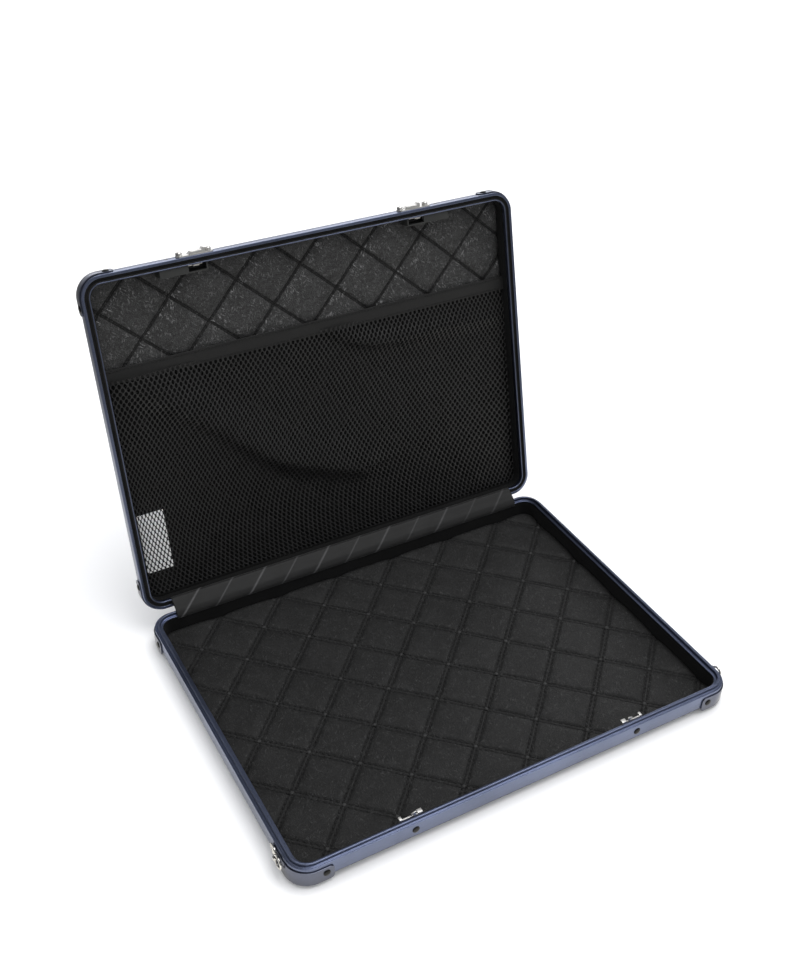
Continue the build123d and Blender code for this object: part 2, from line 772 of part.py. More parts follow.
def latch_bolt(side):
    """The bolt: a bar on the stem, a leg down from it, a finger under the strike's nose, a spring tab."""
    rest = latch_centre - latch_travel / 2
    bar_start = rest - stem_length / 2 - bolt_thickness
    stem_z = lid_rim + stem_rise
    bar_z = (stem_z - bolt_bar_height / 2, stem_z + bolt_bar_height / 2)
    finger_start = nose_end - bolt_finger_reach
    finger_top = base_height + hook_nose_height - bolt_finger_gap
    bolt_y = (front_wall(bolt_near), front_wall(bolt_far))
    half_length = stem_length / 2 + rivet_fit
    half_height = stem_height / 2 + rivet_fit
    with BuildPart() as bolt:
        block(span(side, bar_start, bolt_end - bar_start), bolt_y, bar_z)
        block(span(side, bolt_leg_start, bolt_leg_width), bolt_y, (finger_top, bar_z[0]))
        block(
            span(side, finger_start, bolt_leg_end - finger_start),
            bolt_y,
            (finger_top - bolt_finger_height, finger_top),
        )
        block(
            span(side, bolt_end - bolt_thickness, bolt_thickness),
            (bolt_y[1], bolt_y[1] + bolt_tab_reach),
            bar_z,
        )
        block(
            (side * (rest - half_length), side * (rest + half_length)),
            bolt_y,
            (stem_z - half_height, stem_z + half_height),
            Mode.SUBTRACT,
        )
    return bolt


housing_near = liner_inner + panel_fit
housing_start = housing_outer_end - housing_length


def latch_housing(side):
    """The cover over a bolt: open towards the wall, with a window in its rim side and a rivet foot."""
    far = front_wall(housing_near + housing_width)
    near = front_wall(housing_near)
    bottom = lid_rim + housing_rise
    inner_bottom = bottom + housing_wall
    inner_top = bottom + housing_height - housing_wall
    inner_length = housing_length - 2 * housing_wall
    rivet_x = side * (housing_outer_end - housing_rivet_setback)
    half_foot = housing_foot_length / 2
    with BuildPart() as housing:
        block(span(side, housing_start, housing_length), (near, far), (bottom, bottom + housing_height))
        block(
            span(side, housing_start + housing_wall, inner_length),
            (near, far - housing_wall),
            (inner_bottom, inner_top),
            Mode.SUBTRACT,
        )
        block(
            span(side, housing_start + window_margin, window_length),
            (near, far - housing_wall),
            (bottom, inner_bottom),
            Mode.SUBTRACT,
        )
        block(
            (rivet_x - half_foot, rivet_x + half_foot),
            (near, near + housing_foot_depth),
            (inner_bottom, inner_top),
        )
        drill(housing_seats, housing_near + housing_foot_depth)
    return housing


def latch_spring(side):
    """The coil between the bolt's tab and the housing's outer end."""
    start = bolt_end + spring_wire_radius + rivet_fit
    length = housing_outer_end - housing_wall - spring_wire_radius - rivet_fit - start
    axis_y = front_wall(bolt_far) + bolt_tab_reach - spring_radius - spring_wire_radius
    with BuildPart() as spring:
        with BuildLine() as coil:
            Helix(
                pitch=length / spring_turns,
                height=length,
                radius=spring_radius,
                center=(side * start, axis_y, lid_rim + stem_rise),
                direction=(side, 0, 0),
            )
        with BuildSketch(Plane(origin=coil.line @ 0, z_dir=coil.line % 0)):
            Circle(spring_wire_radius)
        sweep(path=coil.line, is_frenet=True)
    return spring


for side_name, side_x in sides.items():
    keep(latch_plate(side_x), f"latch_plate_{side_name}", lid_opening)
    keep(latch_button(side_x), f"latch_button_{side_name}", lid_opening)
    keep(latch_bolt(side_x), f"latch_bolt_{side_name}", lid_opening)
    keep(latch_housing(side_x), f"latch_housing_{side_name}", lid_opening)
    keep(latch_spring(side_x), f"latch_spring_{side_name}", lid_opening)

with BuildPart() as latch_rivets:
    add_rivets(
        [seat.offset(latch_plate_thickness) for seat in latch_seats],
        latch_plate_thickness + rivet_grip,
        latch_boss_radius,
        latch_boss_height,
    )
keep(latch_rivets, "latch_rivets", lid_opening)

with BuildPart() as housing_rivets:
    add_rivets(housing_seats, housing_near + housing_foot_depth, rivet_tail_radius, rivet_fit)
keep(housing_rivets, "housing_rivets", lid_opening)
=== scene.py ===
"""Dresses a thin laptop case: navy anodised frames, quilted leatherette pads, a net pocket and bright fittings.

The model's own frame, in metres: X along the hinge, Y from the front to the hinge, Z up, and the origin at the
centre of the plan on the surface that the case rests on. Sizes are kept in millimetres and turned into metres
as each mesh is made. The lid's pieces are shaped as they lie when the case is shut, and are then turned back
about the hinge's pin, so the case stands open.
"""

import json
import logging
import math
from collections.abc import Iterator
from contextlib import contextmanager
from dataclasses import dataclass, field
from enum import Enum
from typing import Any

import bmesh
import bpy
import numpy as np
from mathutils import Matrix, Vector


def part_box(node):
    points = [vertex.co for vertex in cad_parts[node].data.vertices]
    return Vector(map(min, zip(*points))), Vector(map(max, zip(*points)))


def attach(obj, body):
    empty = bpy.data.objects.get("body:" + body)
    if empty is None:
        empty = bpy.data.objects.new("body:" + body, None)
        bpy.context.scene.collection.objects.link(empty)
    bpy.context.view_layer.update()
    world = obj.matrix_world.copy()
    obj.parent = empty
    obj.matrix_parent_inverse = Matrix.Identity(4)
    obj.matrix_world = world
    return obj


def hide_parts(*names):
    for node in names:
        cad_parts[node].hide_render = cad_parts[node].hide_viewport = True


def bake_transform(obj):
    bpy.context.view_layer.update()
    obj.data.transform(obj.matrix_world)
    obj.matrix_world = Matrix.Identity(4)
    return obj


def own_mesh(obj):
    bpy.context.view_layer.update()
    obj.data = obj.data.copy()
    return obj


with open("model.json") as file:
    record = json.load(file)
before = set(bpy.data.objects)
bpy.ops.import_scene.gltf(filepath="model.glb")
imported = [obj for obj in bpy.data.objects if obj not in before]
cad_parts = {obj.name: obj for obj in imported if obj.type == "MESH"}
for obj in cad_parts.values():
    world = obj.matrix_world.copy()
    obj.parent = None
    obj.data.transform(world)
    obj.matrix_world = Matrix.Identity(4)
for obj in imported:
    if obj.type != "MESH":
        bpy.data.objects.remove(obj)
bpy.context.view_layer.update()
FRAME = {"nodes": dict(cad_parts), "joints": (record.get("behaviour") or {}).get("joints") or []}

MM = 0.001
LOG = logging.getLogger("case")

Array = np.ndarray
Colour = tuple[float, float, float]
Pair = tuple[float, float]
Path = list[Pair]
Box = tuple[Array, Array]
Mesh = bpy.types.Mesh
Piece = bpy.types.Object
Socket = bpy.types.NodeSocket
Tree = bpy.types.NodeTree


class Body(Enum):
    """The bodies that the pieces ride on."""

    BASE = "base"
    LID = "lid"
    LATCH_LEFT = "latch_left"
    LATCH_RIGHT = "latch_right"
    RING_LEFT = "ring_left"
    RING_RIGHT = "ring_right"


class Side(Enum):
    """The two ends of the case along the hinge, as the model's nodes name them."""

    LEFT = "left"
    RIGHT = "right"


# ---- The case's plan and its lid's turn ----


def joint_of(name: str) -> dict[str, Any]:
    """One of the model's joints, by name."""
    return next(joint for joint in FRAME["joints"] if joint["name"] == name)


def distance_along(points: Array) -> Array:
    """The distance walked along a line, at each of its points."""
    return np.concatenate([[0.0], np.cumsum(np.linalg.norm(np.diff(points, axis=0), axis=1))])


def turned(x: Array, y: Array, angle: float) -> tuple[Array, Array]:
    """Places as they are seen from axes turned by an angle, in radians."""
    return x * math.cos(angle) + y * math.sin(angle), y * math.cos(angle) - x * math.sin(angle)


@dataclass(frozen=True)
class Plan:
    """The case's rounded plan, in millimetres, with the heights that both halves share."""

    half_width: float
    half_depth: float
    base_rim: float
    lid_rim: float
    opening: Matrix
    corner_radius: float = 17.5
    frame_depth: float = 6.9
    corner_steps: int = 14
    side_steps: int = 10

    @classmethod
    def from_frame(cls, tongue_height: float = 2.5) -> "Plan":
        """Reads the plan from the model's base frame and its lid hinge.

        Args:
            tongue_height: How far the base frame's tongue stands above its rim.

        Returns:
            The plan, with the matrix that opens the lid.
        """
        low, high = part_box("base_frame")
        hinge = joint_of("lid_hinge")
        pin = Matrix.Translation(hinge["pos_m"])
        turn = Matrix.Rotation(-math.radians(hinge["range_deg"][1]), 4, Vector(hinge["axis"]))
        base_rim = high.z / MM - tongue_height
        return cls(
            half_width=(high.x - low.x) / 2 / MM,
            half_depth=(high.y - low.y) / 2 / MM,
            base_rim=base_rim,
            lid_rim=2 * hinge["pos_m"][2] / MM - base_rim,
            opening=pin @ turn @ pin.inverted(),
        )

    def stations(self) -> tuple[Array, Array, Array]:
        """Walks round the plan once, anticlockwise from the middle of the back.

        Returns:
            Places on the plan, outward normals there, and the distance walked, with the full turn last.
        """
        radius = self.corner_radius
        inner_x, inner_y = self.half_width - radius, self.half_depth - radius
        walk = [((0.0, self.half_depth), (0.0, 1.0))]
        corners = []
        for sign_x, sign_y, start in ((-1, 1, 90), (-1, -1, 180), (1, -1, 270), (1, 1, 0)):
            angles = [math.radians(start + 90 * step / self.corner_steps) for step in range(self.corner_steps + 1)]
            normals = [(math.cos(angle), math.sin(angle)) for angle in angles]
            turn_x, turn_y = sign_x * inner_x, sign_y * inner_y
            corners.append([((turn_x + radius * x, turn_y + radius * y), (x, y)) for x, y in normals])
        for corner in [*corners, [walk[0]]]:
            (from_x, from_y), ((to_x, to_y), normal) = walk[-1][0], corner[0]
            for share in (step / self.side_steps for step in range(1, self.side_steps)):
                walk.append(((from_x + (to_x - from_x) * share, from_y + (to_y - from_y) * share), normal))
            walk += corner
        walk.pop()
        places, normals = (np.array(part) for part in zip(*walk))
        return places, normals, distance_along(np.vstack([places, places[:1]]))

    def swept(self, section: Path, base: float, sign: int = 1) -> tuple[Array, Array]:
        """Carries a section round the plan.

        Args:
            section: The section's corners, as inset and height.
            base: The height that the section's heights are counted from.
            sign: 1 where the section's heights run up, -1 where they run down.

        Returns:
            The points, one row for each station, and the distances walked.
        """
        places, normals, walked = self.stations()
        loop = np.array(section)
        drawn_in = places[:, None, :] - normals[:, None, :] * loop[None, :, :1]
        height = np.broadcast_to(base + sign * loop[None, :, 1:], drawn_in.shape[:2] + (1,))
        return np.concatenate([drawn_in, height], axis=2), walked

    def edge_distance(self, x: Array, y: Array, inset: float) -> Array:
        """Distance inward from an inset of the plan.

        Args:
            x: Places along X.
            y: Places along Y.
            inset: How far the outline is drawn in.

        Returns:
            The distances, positive inside the outline.
        """
        from_x = np.abs(x) - (self.half_width - self.corner_radius)
        from_y = np.abs(y) - (self.half_depth - self.corner_radius)
        outside = np.hypot(np.maximum(from_x, 0), np.maximum(from_y, 0))
        return self.corner_radius - inset - (outside + np.minimum(np.maximum(from_x, from_y), 0))

    def opened(self, y: float, z: float) -> Pair:
        """Where a point of the shut lid's section goes when the lid is open."""
        place = self.opening @ Vector((0, y * MM, z * MM))
        return place.y / MM, place.z / MM


@dataclass(frozen=True)
class Lattice:
    """The quilting's two slanting families of seams, in millimetres, which may lie a little askew."""

    start: Pair
    half_pitch: Pair
    askew: float
    row_gap: float = 1.5

    @property
    def spacing(self) -> float:
        """Distance between neighbouring seams of one family."""
        return 2 / math.hypot(1 / self.half_pitch[0], 1 / self.half_pitch[1])

    def flow(self, x: Array, y: Array) -> tuple[Array, Array]:
        """Turns places on the plan into the lattice's own coordinates."""
        return turned(x - self.start[0], y - self.start[1], math.radians(self.askew))

    def on_plan(self, x: Array, y: Array) -> tuple[Array, Array]:
        """Turns the lattice's own coordinates into places on the plan."""
        across, away = turned(x, y, -math.radians(self.askew))
        return across + self.start[0], away + self.start[1]

    def distances(self, x: Array, y: Array) -> tuple[Array, Array]:
        """Distances from places to the nearest seam of each family.

        Args:
            x: Places along X.
            y: Places along Y.

        Returns:
            The distances, one array for each family.
        """
        along, away = self.flow(x, y)
        across, down = along / self.half_pitch[0], away / self.half_pitch[1]
        counts = (across + down) / 2, (across - down) / 2
        return tuple(np.abs(count - np.round(count)) * self.spacing for count in counts)


BASE_LATTICE = Lattice(start=(9.7, 109.8), half_pitch=(28.98, 28.81), askew=1.1)
LID_LATTICE = Lattice(start=(-6.3, -117.6), half_pitch=(29.1, 28.0), askew=-1.6, row_gap=0.65)


# ---- Meshes ----


def bend(before: Array, corner: Array, after: Array, radius: float, share: float, steps: int) -> list[Array]:
    """Rounds one corner of a line.

    Args:
        before: The point before the corner.
        corner: The corner.
        after: The point after it.
        radius: How far from the corner the bend starts, where both sides leave room.
        share: The greatest share of a side that the bend may take.
        steps: Steps round the bend.

    Returns:
        The points of the bend.
    """
    into, out = before - corner, after - corner
    cut = min(radius, share * float(np.linalg.norm(into)), share * float(np.linalg.norm(out)))
    start = corner + into / np.linalg.norm(into) * cut
    end = corner + out / np.linalg.norm(out) * cut
    shares = [step / steps for step in range(steps + 1)]
    return [(1 - part) ** 2 * start + 2 * part * (1 - part) * corner + part**2 * end for part in shares]


def softened(points: Path, radius: float, steps: int = 3) -> Path:
    """Rounds every corner of a closed section.

    Args:
        points: The section's corners, in order.
        radius: The corner radius, where the two sides leave room for it.
        steps: Steps round each corner.

    Returns:
        The rounded section.
    """
    corners = [np.array(point, float) for point in points]
    around = zip([corners[-1], *corners], corners, [*corners[1:], corners[0]])
    bends = [bend(before, corner, after, radius, 0.45, steps) for before, corner, after in around]
    return [(float(place[0]), float(place[1])) for rounded in bends for place in rounded]


def arc(centre: Pair, radius: float, start: float, end: float, steps: int) -> Path:
    """Points along an arc from one angle to another, in degrees, both ends included."""
    angles = [math.radians(start + (end - start) * step / steps) for step in range(steps + 1)]
    return [(centre[0] + radius * math.cos(angle), centre[1] + radius * math.sin(angle)) for angle in angles]


def grid_faces(rows: int, columns: int, wrap: bool = False) -> Array:
    """Faces of a grid whose points are numbered row by row.

    Args:
        rows: Points down the grid.
        columns: Points across it.
        wrap: Whether the last row joins the first.

    Returns:
        One row of four point numbers for each face.
    """
    row = np.arange(rows if wrap else rows - 1)[:, None]
    column = np.arange(columns - 1)[None, :]
    first = row * columns + column
    below = (row + 1) % rows * columns + column
    return np.stack([first, first + 1, below + 1, below], axis=-1).reshape(-1, 4)


def grid_rim(rows: int, columns: int) -> Array:
    """The numbers of a grid's points along its rim, in order."""
    right, far = np.arange(1, rows) * columns + columns - 1, np.arange(columns - 2, -1, -1) + (rows - 1) * columns
    return np.concatenate([np.arange(columns), right, far, np.arange(rows - 2, 0, -1) * columns])


def skirt(rim: Array, under: Array) -> Array:
    """Faces that lead from a closed line of points to the points that lie under it."""
    return np.column_stack([rim, np.roll(rim, -1), np.roll(under, -1), under])


@contextmanager
def editing(mesh: Mesh) -> Iterator[bmesh.types.BMesh]:
    """Opens a mesh for editing, and writes it back afterwards.

    Args:
        mesh: The mesh.

    Yields:
        The mesh as it is edited.
    """
    work = bmesh.new()
    work.from_mesh(mesh)
    yield work
    work.to_mesh(mesh)
    work.free()
    mesh.update()


def close_up(mesh: Mesh, distance: float = 1e-6) -> None:
    """Merges a mesh's doubled points and turns its faces outward.

    Args:
        mesh: The mesh to mend.
        distance: Points nearer than this become one; 0 merges none.
    """
    with editing(mesh) as work:
        if distance:
            bmesh.ops.remove_doubles(work, verts=work.verts, dist=distance)
        bmesh.ops.recalc_face_normals(work, faces=work.faces)


def crisp_from(mesh: Mesh, angle: float) -> None:
    """Shades a mesh smooth, but for edges that turn by more than an angle in degrees."""
    mesh.shade_smooth()
    mesh.set_sharp_from_angle(angle=math.radians(angle))


def raw_mesh(name: str, places: Any, edges: Any = (), faces: Any = (), flow: Array | None = None) -> Mesh:
    """Makes a mesh in metres from places in millimetres.

    Args:
        name: The mesh's name.
        places: Its points, in millimetres.
        edges: Point numbers of each loose edge.
        faces: Point numbers of each face.
        flow: The surface's own coordinates in millimetres, one pair for each face corner.

    Returns:
        The mesh.
    """
    mesh = bpy.data.meshes.new(name)
    mesh.from_pydata((np.asarray(places, float) * MM).tolist(), list(edges), list(faces))
    if flow is not None:
        mesh.uv_layers.new(name="flow").data.foreach_set("uv", np.asarray(flow, np.float32).ravel())
    return mesh


def mesh_of(name: str, places: Any, faces: Any, flow: Array | None = None, sharp_angle: float = 40) -> Mesh:
    """Makes a closed, smooth mesh.

    Args:
        name: The mesh's name.
        places: Its points, in millimetres.
        faces: Point numbers of each face.
        flow: The surface's own coordinates in millimetres, one pair for each face corner.
        sharp_angle: Edges that turn by more than this, in degrees, stay crisp.

    Returns:
        The mesh.
    """
    mesh = raw_mesh(name, places, (), faces, flow)
    close_up(mesh)
    crisp_from(mesh, sharp_angle)
    return mesh


def tube(name: str, points: Array, along: Array, loop: Path, wrap: bool = False) -> Mesh:
    """Skins a row of loops, and gives the skin its own flat coordinates.

    Args:
        name: The mesh's name.
        points: The loops' points, whose last closes each loop.
        along: How far along the tube each loop lies.
        loop: The section, whose last point is its first.
        wrap: Whether the last loop joins the first.

    Returns:
        The mesh.
    """
    around = distance_along(np.array(loop))
    faces = grid_faces(len(points), len(loop), wrap)
    row, step = np.divmod(np.arange(len(faces)), len(loop) - 1)
    corners = ((0, 0), (0, 1), (1, 1), (1, 0))
    flow = np.stack([np.stack([along[row + i], around[step + j]], axis=1) for i, j in corners], axis=1)
    return mesh_of(name, points.reshape(-1, 3), faces.tolist(), flow.reshape(-1, 2))


def swept_round(name: str, plan: Plan, section: Path, base: float) -> Mesh:
    """Sweeps a closed section round the case's plan.

    Args:
        name: The mesh's name.
        plan: The case's plan.
        section: Corners of the section, as inset and height.
        base: The height that the section's heights are counted from.

    Returns:
        The ring-shaped mesh.
    """
    loop = section + [section[0]]
    points, walked = plan.swept(loop, base)
    return tube(name, points, walked, loop, wrap=True)


def points_mesh(name: str, places: list[Any], facing: list[Any]) -> Mesh:
    """A mesh of loose points, each with the way that its copy faces.

    Args:
        name: The mesh's name.
        places: The points, in millimetres.
        facing: The direction at each point.

    Returns:
        The mesh.
    """
    mesh = raw_mesh(name, places)
    attribute = mesh.attributes.new("facing", "FLOAT_VECTOR", "POINT")
    attribute.data.foreach_set("vector", np.array(facing, np.float32).ravel())
    return mesh


def lines_mesh(name: str, runs: list[Array]) -> Mesh:
    """A mesh of lines.

    Args:
        name: The mesh's name.
        runs: The points of each line, in millimetres.

    Returns:
        The mesh.
    """
    starts = np.cumsum([0] + [len(run) for run in runs]).tolist()
    edges = [(start + i, start + i + 1) for start, run in zip(starts, runs) for i in range(len(run) - 1)]
    return raw_mesh(name, np.concatenate(runs), edges)


def lathed(name: str, outline: Path, segments: int = 24) -> Mesh:
    """Turns an outline about Z.

    Args:
        name: The mesh's name.
        outline: Radius and height from the axis at the top to the axis at the bottom.
        segments: Steps round the turn.

    Returns:
        The turned mesh.
    """
    angles = (2 * math.pi * step / segments for step in range(segments))
    points = [(radius * math.cos(a), radius * math.sin(a), height) for a in angles for radius, height in outline]
    return mesh_of(name, points, grid_faces(segments, len(outline), wrap=True).tolist())


def stitch_mesh(name: str, length: float, radius: float) -> Mesh:
    """One stitch: a short rounded thread whose ends dip into the cloth.

    Args:
        name: The mesh's name.
        length: The stitch's length.
        radius: The thread's radius.

    Returns:
        The stitch's mesh, lying along X.
    """
    half = length / 2
    rings = [(-half, -0.5, 0.6), (-half * 0.7, 0.1, 1.0), (half * 0.7, 0.1, 1.0), (half, -0.5, 0.6)]
    points = [
        (x, radius * size * math.cos(angle), radius * (z + size * math.sin(angle)))
        for x, z, size in rings
        for angle in (2 * math.pi * step / 6 for step in range(7))
    ]
    return mesh_of(name, points, grid_faces(len(rings), 7).tolist(), sharp_angle=80)


def value_noise(x: Array, y: Array, cell: float, seed: int) -> Array:
    """Smooth random hills over a surface.

    Args:
        x: Places along X, in millimetres.
        y: Places along Y.
        cell: Distance between neighbouring hills.
        seed: Picks the pattern.

    Returns:
        Heights from -1 to 1.
    """
    table = np.random.default_rng(seed).uniform(-1, 1, (256, 256))
    across, down = x / cell + 97.3, y / cell + 41.7
    column, row = np.floor(across).astype(int), np.floor(down).astype(int)
    share_x, share_y = across - column, down - row
    share_x, share_y = share_x**2 * (3 - 2 * share_x), share_y**2 * (3 - 2 * share_y)
    left, right, rows = column % 256, (column + 1) % 256, (row % 256, (row + 1) % 256)
    near, far = (table[line, left] * (1 - share_x) + table[line, right] * share_x for line in rows)
    return near * (1 - share_y) + far * share_y


def place_piece(
    name: str,
    mesh: Mesh,
    body: Body,
    finish: "Finish | None" = None,
    pose: Matrix | None = None,
    stands_for: str | None = None,
) -> Piece:
    """Makes a piece of the object: turns its mesh to where it stands, dresses it and lets it ride on a body.

    Args:
        name: The piece's name.
        mesh: Its mesh, in metres.
        body: The body that it rides on.
        finish: Its finish, or None where the mesh has it already.
        pose: The turn from where it was shaped to where it stands.
        stands_for: The node that it replaces.

    Returns:
        The piece.
    """
    if pose is not None:
        mesh.transform(pose)
    if finish is not None:
        mesh.materials.clear()
        mesh.materials.append(finish.material())
    piece = bpy.data.objects.new(name, mesh)
    bpy.context.scene.collection.objects.link(piece)
    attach(piece, body.value)
    if stands_for:
        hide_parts(stands_for)
    LOG.info("%s: %d faces on %s", name, len(mesh.polygons), body.value)
    return piece


def machined(node: str, edge: float, body: Body, finish: "Finish", sharp_angle: float = 30) -> None:
    """Puts a copy of a node in its place, with its flats cleaned and its sharp edges broken.

    Args:
        node: The node's name.
        edge: The width of the broken edges, in millimetres.
        body: The body that the piece rides on.
        finish: Its finish.
        sharp_angle: Edges that turn by more than this, in degrees, are broken.
    """
    mesh = FRAME["nodes"][node].data.copy()
    mesh.name = f"{node}_dressed"
    with editing(mesh) as work:
        bmesh.ops.remove_doubles(work, verts=work.verts, dist=2e-6)
        bmesh.ops.dissolve_limit(work, angle_limit=math.radians(1), verts=work.verts, edges=work.edges)
        paired = [line for line in work.edges if len(line.link_faces) == 2]
        crisp = [line for line in paired if line.calc_face_angle() > math.radians(sharp_angle)]
        settings = {"offset_type": "OFFSET", "segments": 2, "profile": 0.6, "affect": "EDGES", "clamp_overlap": True}
        bmesh.ops.bevel(work, geom=crisp, offset=edge * MM, **settings)
        bmesh.ops.recalc_face_normals(work, faces=work.faces)
    crisp_from(mesh, sharp_angle)
    place_piece(f"{node}_dressed", mesh, body, finish, stands_for=node)


def dress_node(node: str, finish: "Finish") -> None:
    """Gives a node that stays as it is its finish.

    Args:
        node: The node's name.
        finish: Its finish.
    """
    target = FRAME["nodes"][node]
    if not target.material_slots:
        target.data.materials.append(finish.material())
    for slot in target.material_slots:
        slot.material = finish.material()
    LOG.info("%s: dressed with %s", node, finish.name)


def islands(node: str, pose: Matrix | None = None) -> list[Box]:
    """The boxes of a node's separate solids.

    Args:
        node: The node's name.
        pose: The turn that the node stands in, which is undone first.

    Returns:
        The lowest and highest corner of each solid, in millimetres, sorted by place.
    """
    work = bmesh.new()
    work.from_mesh(FRAME["nodes"][node].data)
    bmesh.ops.remove_doubles(work, verts=work.verts, dist=2e-6)
    if pose is not None:
        bmesh.ops.transform(work, matrix=pose.inverted(), verts=work.verts)
    seen: set[bmesh.types.BMVert] = set()
    boxes = []
    for seed in work.verts:
        front, members = ([] if seed in seen else [seed]), []
        seen.add(seed)
        while front:
            point = front.pop()
            members.append(point.co[:])
            fresh = [other for other in (line.other_vert(point) for line in point.link_edges) if other not in seen]
            seen.update(fresh)
            front += fresh
        if members:
            corners = np.array(members) / MM
            boxes.append((corners.min(0), corners.max(0)))
    work.free()
    return sorted(boxes, key=lambda box: (round(box[0][0], 1), round(box[0][1], 1)))


# ---- Wiring of node trees ----


class Wiring:
    """Adds nodes to a tree and wires them in few words."""

    def __init__(self, tree: Tree) -> None:
        """Starts on an empty tree."""
        self.tree = tree

    def feed(self, socket: Socket, value: Any) -> None:
        """Links a socket to another socket, or sets it to a value.

        Args:
            socket: The input to feed.
            value: An output socket, a number, or a colour or vector.
        """
        if isinstance(value, Socket):
            self.tree.links.new(value, socket)
        elif isinstance(value, tuple) and len(value) == 3 and socket.type == "RGBA":
            socket.default_value = (*value, 1.0)
        else:
            socket.default_value = value

    def add(self, kind: str, inputs: dict[str | int, Any] | None = None, **settings: Any) -> bpy.types.Node:
        """Adds a node.

        Args:
            kind: The node's type.
            inputs: Values or sockets for its inputs, by name or number.
            settings: Properties of the node.

        Returns:
            The node.
        """
        node = self.tree.nodes.new(kind)
        for key, value in settings.items():
            setattr(node, key, value)
        for key, value in (inputs or {}).items():
            self.feed(node.inputs[key], value)
        return node

    def math(self, operation: str, first: Any, second: Any = 0.0, clamp: bool = False) -> Socket:
        """The result of one sum on two numbers or sockets."""
        return self.add("ShaderNodeMath", {0: first, 1: second}, operation=operation, use_clamp=clamp).outputs[0]

    def times(self, first: Any, second: Any, clamp: bool = False) -> Socket:
        """The product of two numbers or sockets."""
        return self.math("MULTIPLY", first, second, clamp)

    def plus(self, first: Any, second: Any, clamp: bool = False) -> Socket:
        """The sum of two numbers or sockets."""
        return self.math("ADD", first, second, clamp)

    def minus(self, first: Any, second: Any) -> Socket:
        """The difference of two numbers or sockets."""
        return self.math("SUBTRACT", first, second)

    def span(self, value: Any, low: Any, high: Any, to_low: Any = 0.0, to_high: Any = 1.0, **settings: Any) -> Socket:
        """A value moved from one range to another and kept inside it."""
        inputs = {"Value": value, "From Min": low, "From Max": high, "To Min": to_low, "To Max": to_high}
        return self.add("ShaderNodeMapRange", inputs, **settings).outputs["Result"]

    def blend(self, share: Any, first: Any, second: Any, mode: str = "MIX") -> Socket:
        """Two colours mixed by a share."""
        sockets = {0: share, 6: first, 7: second}
        return self.add("ShaderNodeMix", sockets, data_type="RGBA", blend_type=mode).outputs[2]

    def noise(self, where: Any, scale: Any, detail: float = 3.0, rough: float = 0.55, warp: float = 0.0) -> Socket:
        """A cloud of noise, from 0 to 1."""
        inputs = {"Vector": where, "Scale": scale, "Detail": detail, "Roughness": rough, "Distortion": warp}
        return self.add("ShaderNodeTexNoise", inputs).outputs["Fac"]

    def stretched(self, where: Any, scale: tuple[float, float, float], turn: float = 0.0) -> Socket:
        """Coordinates turned about Z and scaled unevenly."""
        inputs = {"Vector": where, "Rotation": (0.0, 0.0, turn), "Scale": scale}
        return self.add("ShaderNodeMapping", inputs).outputs["Vector"]

    def parts(self, vector: Any) -> Any:
        """A vector's three numbers."""
        return self.add("ShaderNodeSeparateXYZ", {0: vector}).outputs

    def place(self) -> Socket:
        """The piece's own coordinates, in metres."""
        return self.add("ShaderNodeTexCoord").outputs["Object"]

    def flow(self) -> Socket:
        """The surface's own coordinates, in millimetres."""
        return self.add("ShaderNodeUVMap", uv_map="flow").outputs["UV"]

    def use(self, group: Tree, **inputs: Any) -> Any:
        """Places a node group and feeds it, naming each input with _ for its spaces."""
        named = {label.replace("_", " "): value for label, value in inputs.items()}
        return self.add("ShaderNodeGroup", named, node_tree=group).outputs

    def bump(self, height: Any, distance: float, strength: float) -> Socket:
        """A normal raised by a height from 0 to 1, where 1 stands for a distance in metres."""
        return self.add("ShaderNodeBump", {"Height": height, "Distance": distance, "Strength": strength}).outputs[0]


